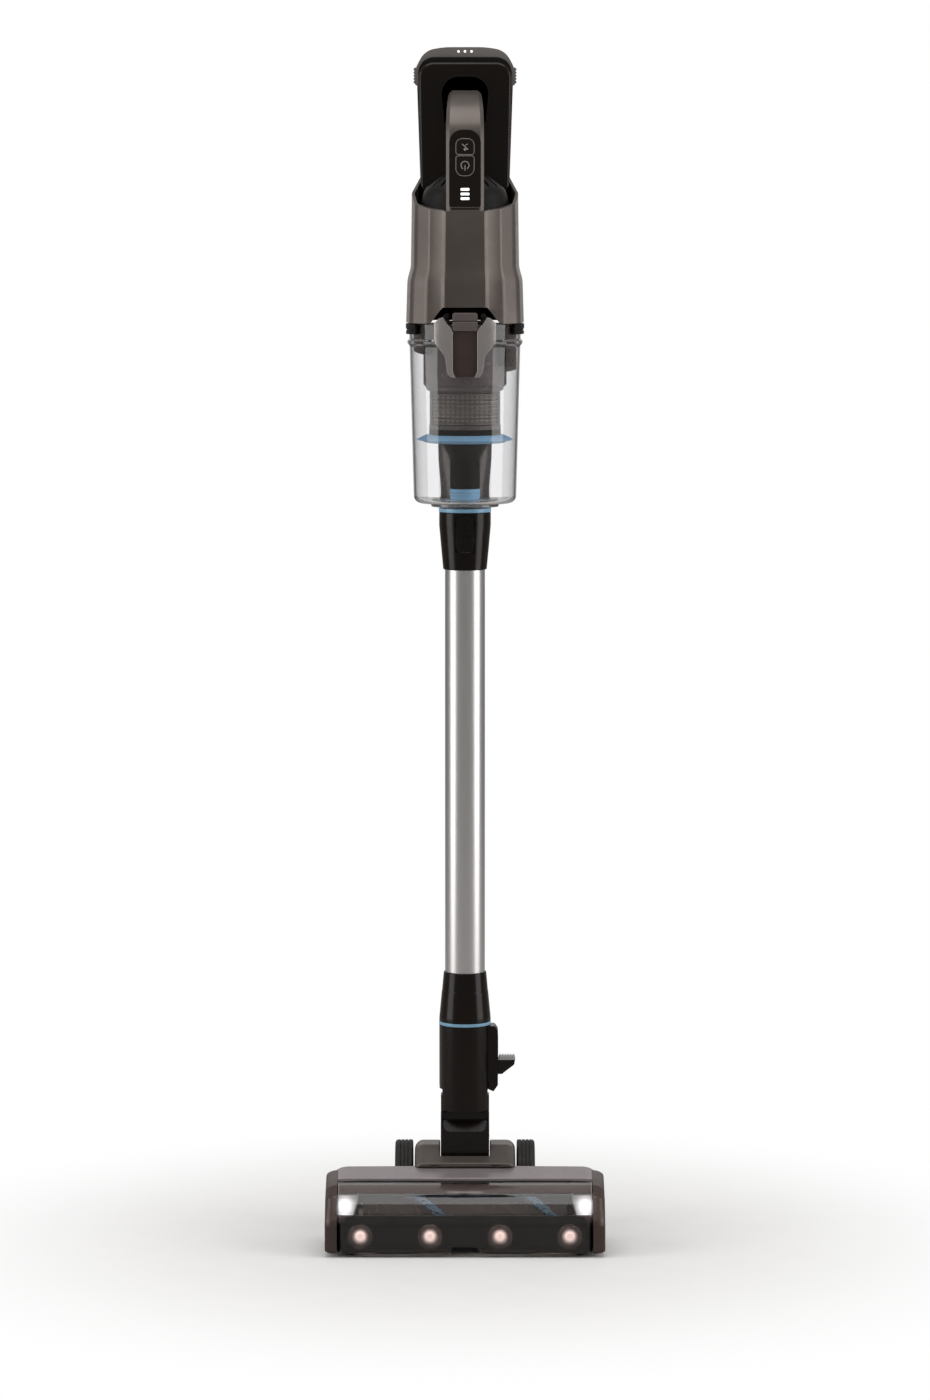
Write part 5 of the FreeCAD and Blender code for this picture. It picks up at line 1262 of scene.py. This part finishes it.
# %% Battery pack
PACK_HALF, PACK_TOP = edges("battery_pack")[1].x, edges("battery_pack")[1].z
low_block = slab([(-38.1, 1006.4, 3), (38.1, 1006.4, 3), (38.1, PACK_SPLIT + 2), (-38.1, PACK_SPLIT + 2)],
                 "xz", -25.2, 21.2)
CAP = [(-PACK_HALF + 0.2, PACK_SPLIT, 1), (-PACK_HALF, 1098, 26), (-37, 1115.6, 18),
       (-19, PACK_TOP - 0.4, 80),
       (19, PACK_TOP - 0.4, 80), (37, 1115.6, 18), (PACK_HALF, 1098, 26), (PACK_HALF - 0.2, PACK_SPLIT, 1)]
pack_cap = slab(CAP, "xz", -27.3, edges("battery_pack")[1].y, 10)
key_rooms = [slab([(s * (PACK_HALF - 4.4), 1085.0), (s * (PACK_HALF + 3), 1085.0),
                   (s * (PACK_HALF + 3), 1100.8),
                   (s * (PACK_HALF - 4.4), 1100.8)], "xz", -12.3, 12.3) for s in (-1, 1)]
piece("battery_cap", pack_cap, "battery", PACK_GREY, ["battery_pack"], cuts=key_rooms,
      bevel=1.8, rounds=4)
piece("battery_block", low_block, "battery", SATIN, bevel=0.8)
dots = [facing_back(turned([(0, -0.35), (1.15, -0.35, 0.2), (1.15, 0.8), (0, 0.8)], steps=3), x, -27.3,
                    1114.6)
        for x in (-6.0, 0.0, 6.0)]
piece("battery_lights", together(*dots), "battery", PRINT)
for side, s in (("left", -1), ("right", 1)):
    foot, out = PACK_HALF - 2.3, PACK_HALF + 0.4
    ribs = [slab([(s * foot, 1085.5, 0.6), (s * out, 1085.5, 0.6), (s * out, 1100.3, 0.6),
                  (s * foot, 1100.3, 0.6)], "xz",
                 -12, 12)]
    for i in range(5):
        z = 1087.1 + 2.9 * i
        ribs.append(slab([(s * (out - 0.4), z - 1.0), (s * (out + 0.85), z - 0.45, 0.3),
                          (s * (out + 0.85), z + 0.45, 0.3),
                          (s * (out - 0.4), z + 1.0)], "xz", -11.4, 11.4, 3))
    piece("pack_key_" + side, together(*ribs), "pack_key_" + side, PACK_GREY,
          ["pack_button_" + side], bevel=0.2,
          rounds=2)

# %% [markdown]
# The remaining engineering parts keep their shape. Each one gets the finish of what it is made of.

# %% Finishes for the parts that stay
DIODE, tree, place = new_material("lit_diode")
spread = node(tree, "TexNoise", {"Scale": 1 / (1.5 * MM)}, {"Vector": place})
hot = node(tree, "MapRange", {"To Min": 5.0, "To Max": 7.0}, {"Value": spread.outputs["Fac"]})
finish(tree, node(tree, "BsdfPrincipled", {"Base Color": paint("ffffff"), "Roughness": 0.3,
                                           "Emission Color": paint("f4f7ff")},
                                           {"Emission Strength": hot.outputs[0]}))
STAYS = {DEEP: ["head_base", "motor_cap", "wand_catch"], STEEL: ["case_screws", "axle_pins", "swivel_pins"],
         BROWN: ["brush_end_cap"], FOAM: ["pre_motor_filter", "exhaust_filter"], SOOT: ["impeller"],
         ALUMINIUM: ["suction_motor", "brush_motor"], PRINT: ["charge_bars"], DIODE: ["head_leds"]}
for material, names in STAYS.items():
    for name in names:
        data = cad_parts[name].data
        data.materials.clear()
        data.materials.append(material)
        data.set_sharp_from_angle(angle=math.radians(32))
print(sum(len(names) for names in STAYS.values()), "engineering parts keep their shape")

# %% [markdown]
# ## Stage, light and camera
# The cleaner stands on a pale floor that runs on into a white background. Two tall softboxes at the sides
# draw the long highlights on everything round, a broad top light fills the faces that look up, and what is
# in front stays dim, so that black plastic stays black. The floor and the sky are brighter to the eye than
# to the light that they give back, which is what a lit white sweep does in a studio.

# %% Floor and sky


def seen_straight_on(tree):
    """1 for what the eye sees directly or through clear plastic, 0 for anything mirrored or scattered."""
    path = node(tree, "LightPath")
    clear_way = node(tree, "Math", {"operation": "MAXIMUM"}, {0: path.outputs["Is Camera Ray"],
                                                              1: path.outputs["Is Transmission Ray"]})
    bounces = node(tree, "Math", {"operation": "ADD"}, {0: path.outputs["Glossy Depth"],
                                                        1: path.outputs["Diffuse Depth"]})
    unmirrored = node(tree, "Math", {"operation": "LESS_THAN", 1: 0.5}, {0: bounces.outputs[0]})
    return node(tree, "Math", {"operation": "MULTIPLY"}, {0: clear_way.outputs[0], 1: unmirrored.outputs[0]})


floor_mesh = bpy.data.meshes.new("floor")
FLOOR = 60.0
floor_mesh.from_pydata([(-FLOOR, -FLOOR, 0), (FLOOR, -FLOOR, 0), (FLOOR, FLOOR, 0), (-FLOOR, FLOOR, 0)],
                       [], [(0, 1, 2, 3)])
floor = bpy.data.objects.new("floor", floor_mesh)
scene.collection.objects.link(floor)
SWEEP, tree, place = new_material("white_sweep")
distance = node(tree, "VectorMath", {"operation": "LENGTH"}, {0: place})
fade = node(tree, "MapRange", {"interpolation_type": "SMOOTHSTEP", "From Min": 0.12, "From Max": 0.6},
            {"Value": distance.outputs["Value"]})
paper = node(tree, "TexNoise", {"Scale": 1 / (40 * MM), "Detail": 4.0}, {"Vector": place})
paper_tone = colour_ramp(tree, paper.outputs["Fac"], paint("f2f1f0"), paint("f8f7f6"))
near = node(tree, "BsdfDiffuse", links={"Color": paper_tone.outputs["Color"]})
far = node(tree, "Emission", {"Color": (1, 1, 1, 1), "Strength": 1.0})
seen = node(tree, "MixShader", links={0: fade.outputs[0], 1: near.outputs[0], 2: far.outputs[0]})
given = node(tree, "BsdfDiffuse", {"Color": (0.45, 0.44, 0.43, 1)})
direct = seen_straight_on(tree)
sweep = node(tree, "MixShader", links={0: direct.outputs[0], 1: given.outputs[0], 2: seen.outputs[0]})
finish(tree, sweep)
floor_mesh.materials.append(SWEEP)

sky = bpy.data.worlds.new("studio")
scene.world = sky
sky.use_nodes = True
tree = sky.node_tree
tree.nodes.clear()
white = node(tree, "Background", {"Color": (1, 1, 1, 1), "Strength": 1.0})
dim = node(tree, "Background", {"Color": (1.0, 0.985, 0.97, 1), "Strength": 0.34})
direct = seen_straight_on(tree)
both_skies = node(tree, "MixShader", links={0: direct.outputs[0], 1: dim.outputs[0], 2: white.outputs[0]})
node(tree, "OutputWorld", links={"Surface": both_skies.outputs[0]})

# %% [markdown]
# A softbox is an area light: its power is set from the brightness that its face should have, so that its
# size can change without changing how bright its reflection is.

# %% Softboxes


def softbox(name, place, aim, width, height, brightness):
    light = bpy.data.lights.new(name, "AREA")
    light.shape, light.size, light.size_y = "RECTANGLE", width, height
    light.energy = brightness * math.pi * width * height
    made = bpy.data.objects.new(name, light)
    made.location = place
    made.rotation_euler = (Vector(aim) - Vector(place)).to_track_quat("-Z", "Y").to_euler()
    made.visible_camera = made.visible_transmission = False
    scene.collection.objects.link(made)


softbox("softbox_left", (-1.9, -0.55, 0.75), (0, -0.2, 0.6), 1.1, 2.4, 2.6)
softbox("softbox_right", (1.9, -0.55, 0.75), (0, -0.2, 0.6), 1.1, 2.4, 2.6)
softbox("softbox_top", (0.0, -0.3, 2.6), (0, 0, 0.4), 2.2, 1.6, 2.1)
softbox("softbox_back", (0.0, 2.4, 1.2), (0, 0, 0.6), 2.4, 1.6, 0.4)

# %% [markdown]
# The camera stands nearly five metres in front, a little below the top of the cleaner, and looks down by
# under six degrees through a long lens, as in a catalogue view.

# %% Camera
CAMERA_BACK, CAMERA_UP, CAMERA_DOWN = 4.660, 0.978, 5.74
lens = bpy.data.cameras.new("camera")
lens.lens, lens.sensor_width = 127.9, 36.0
camera = bpy.data.objects.new("camera", lens)
camera.location = (0.0, AXIS_Y - CAMERA_BACK, CAMERA_UP)
camera.rotation_euler = (math.radians(90 - CAMERA_DOWN), 0, 0)
scene.collection.objects.link(camera)
scene.camera = camera
scene.view_settings.view_transform = "Standard"
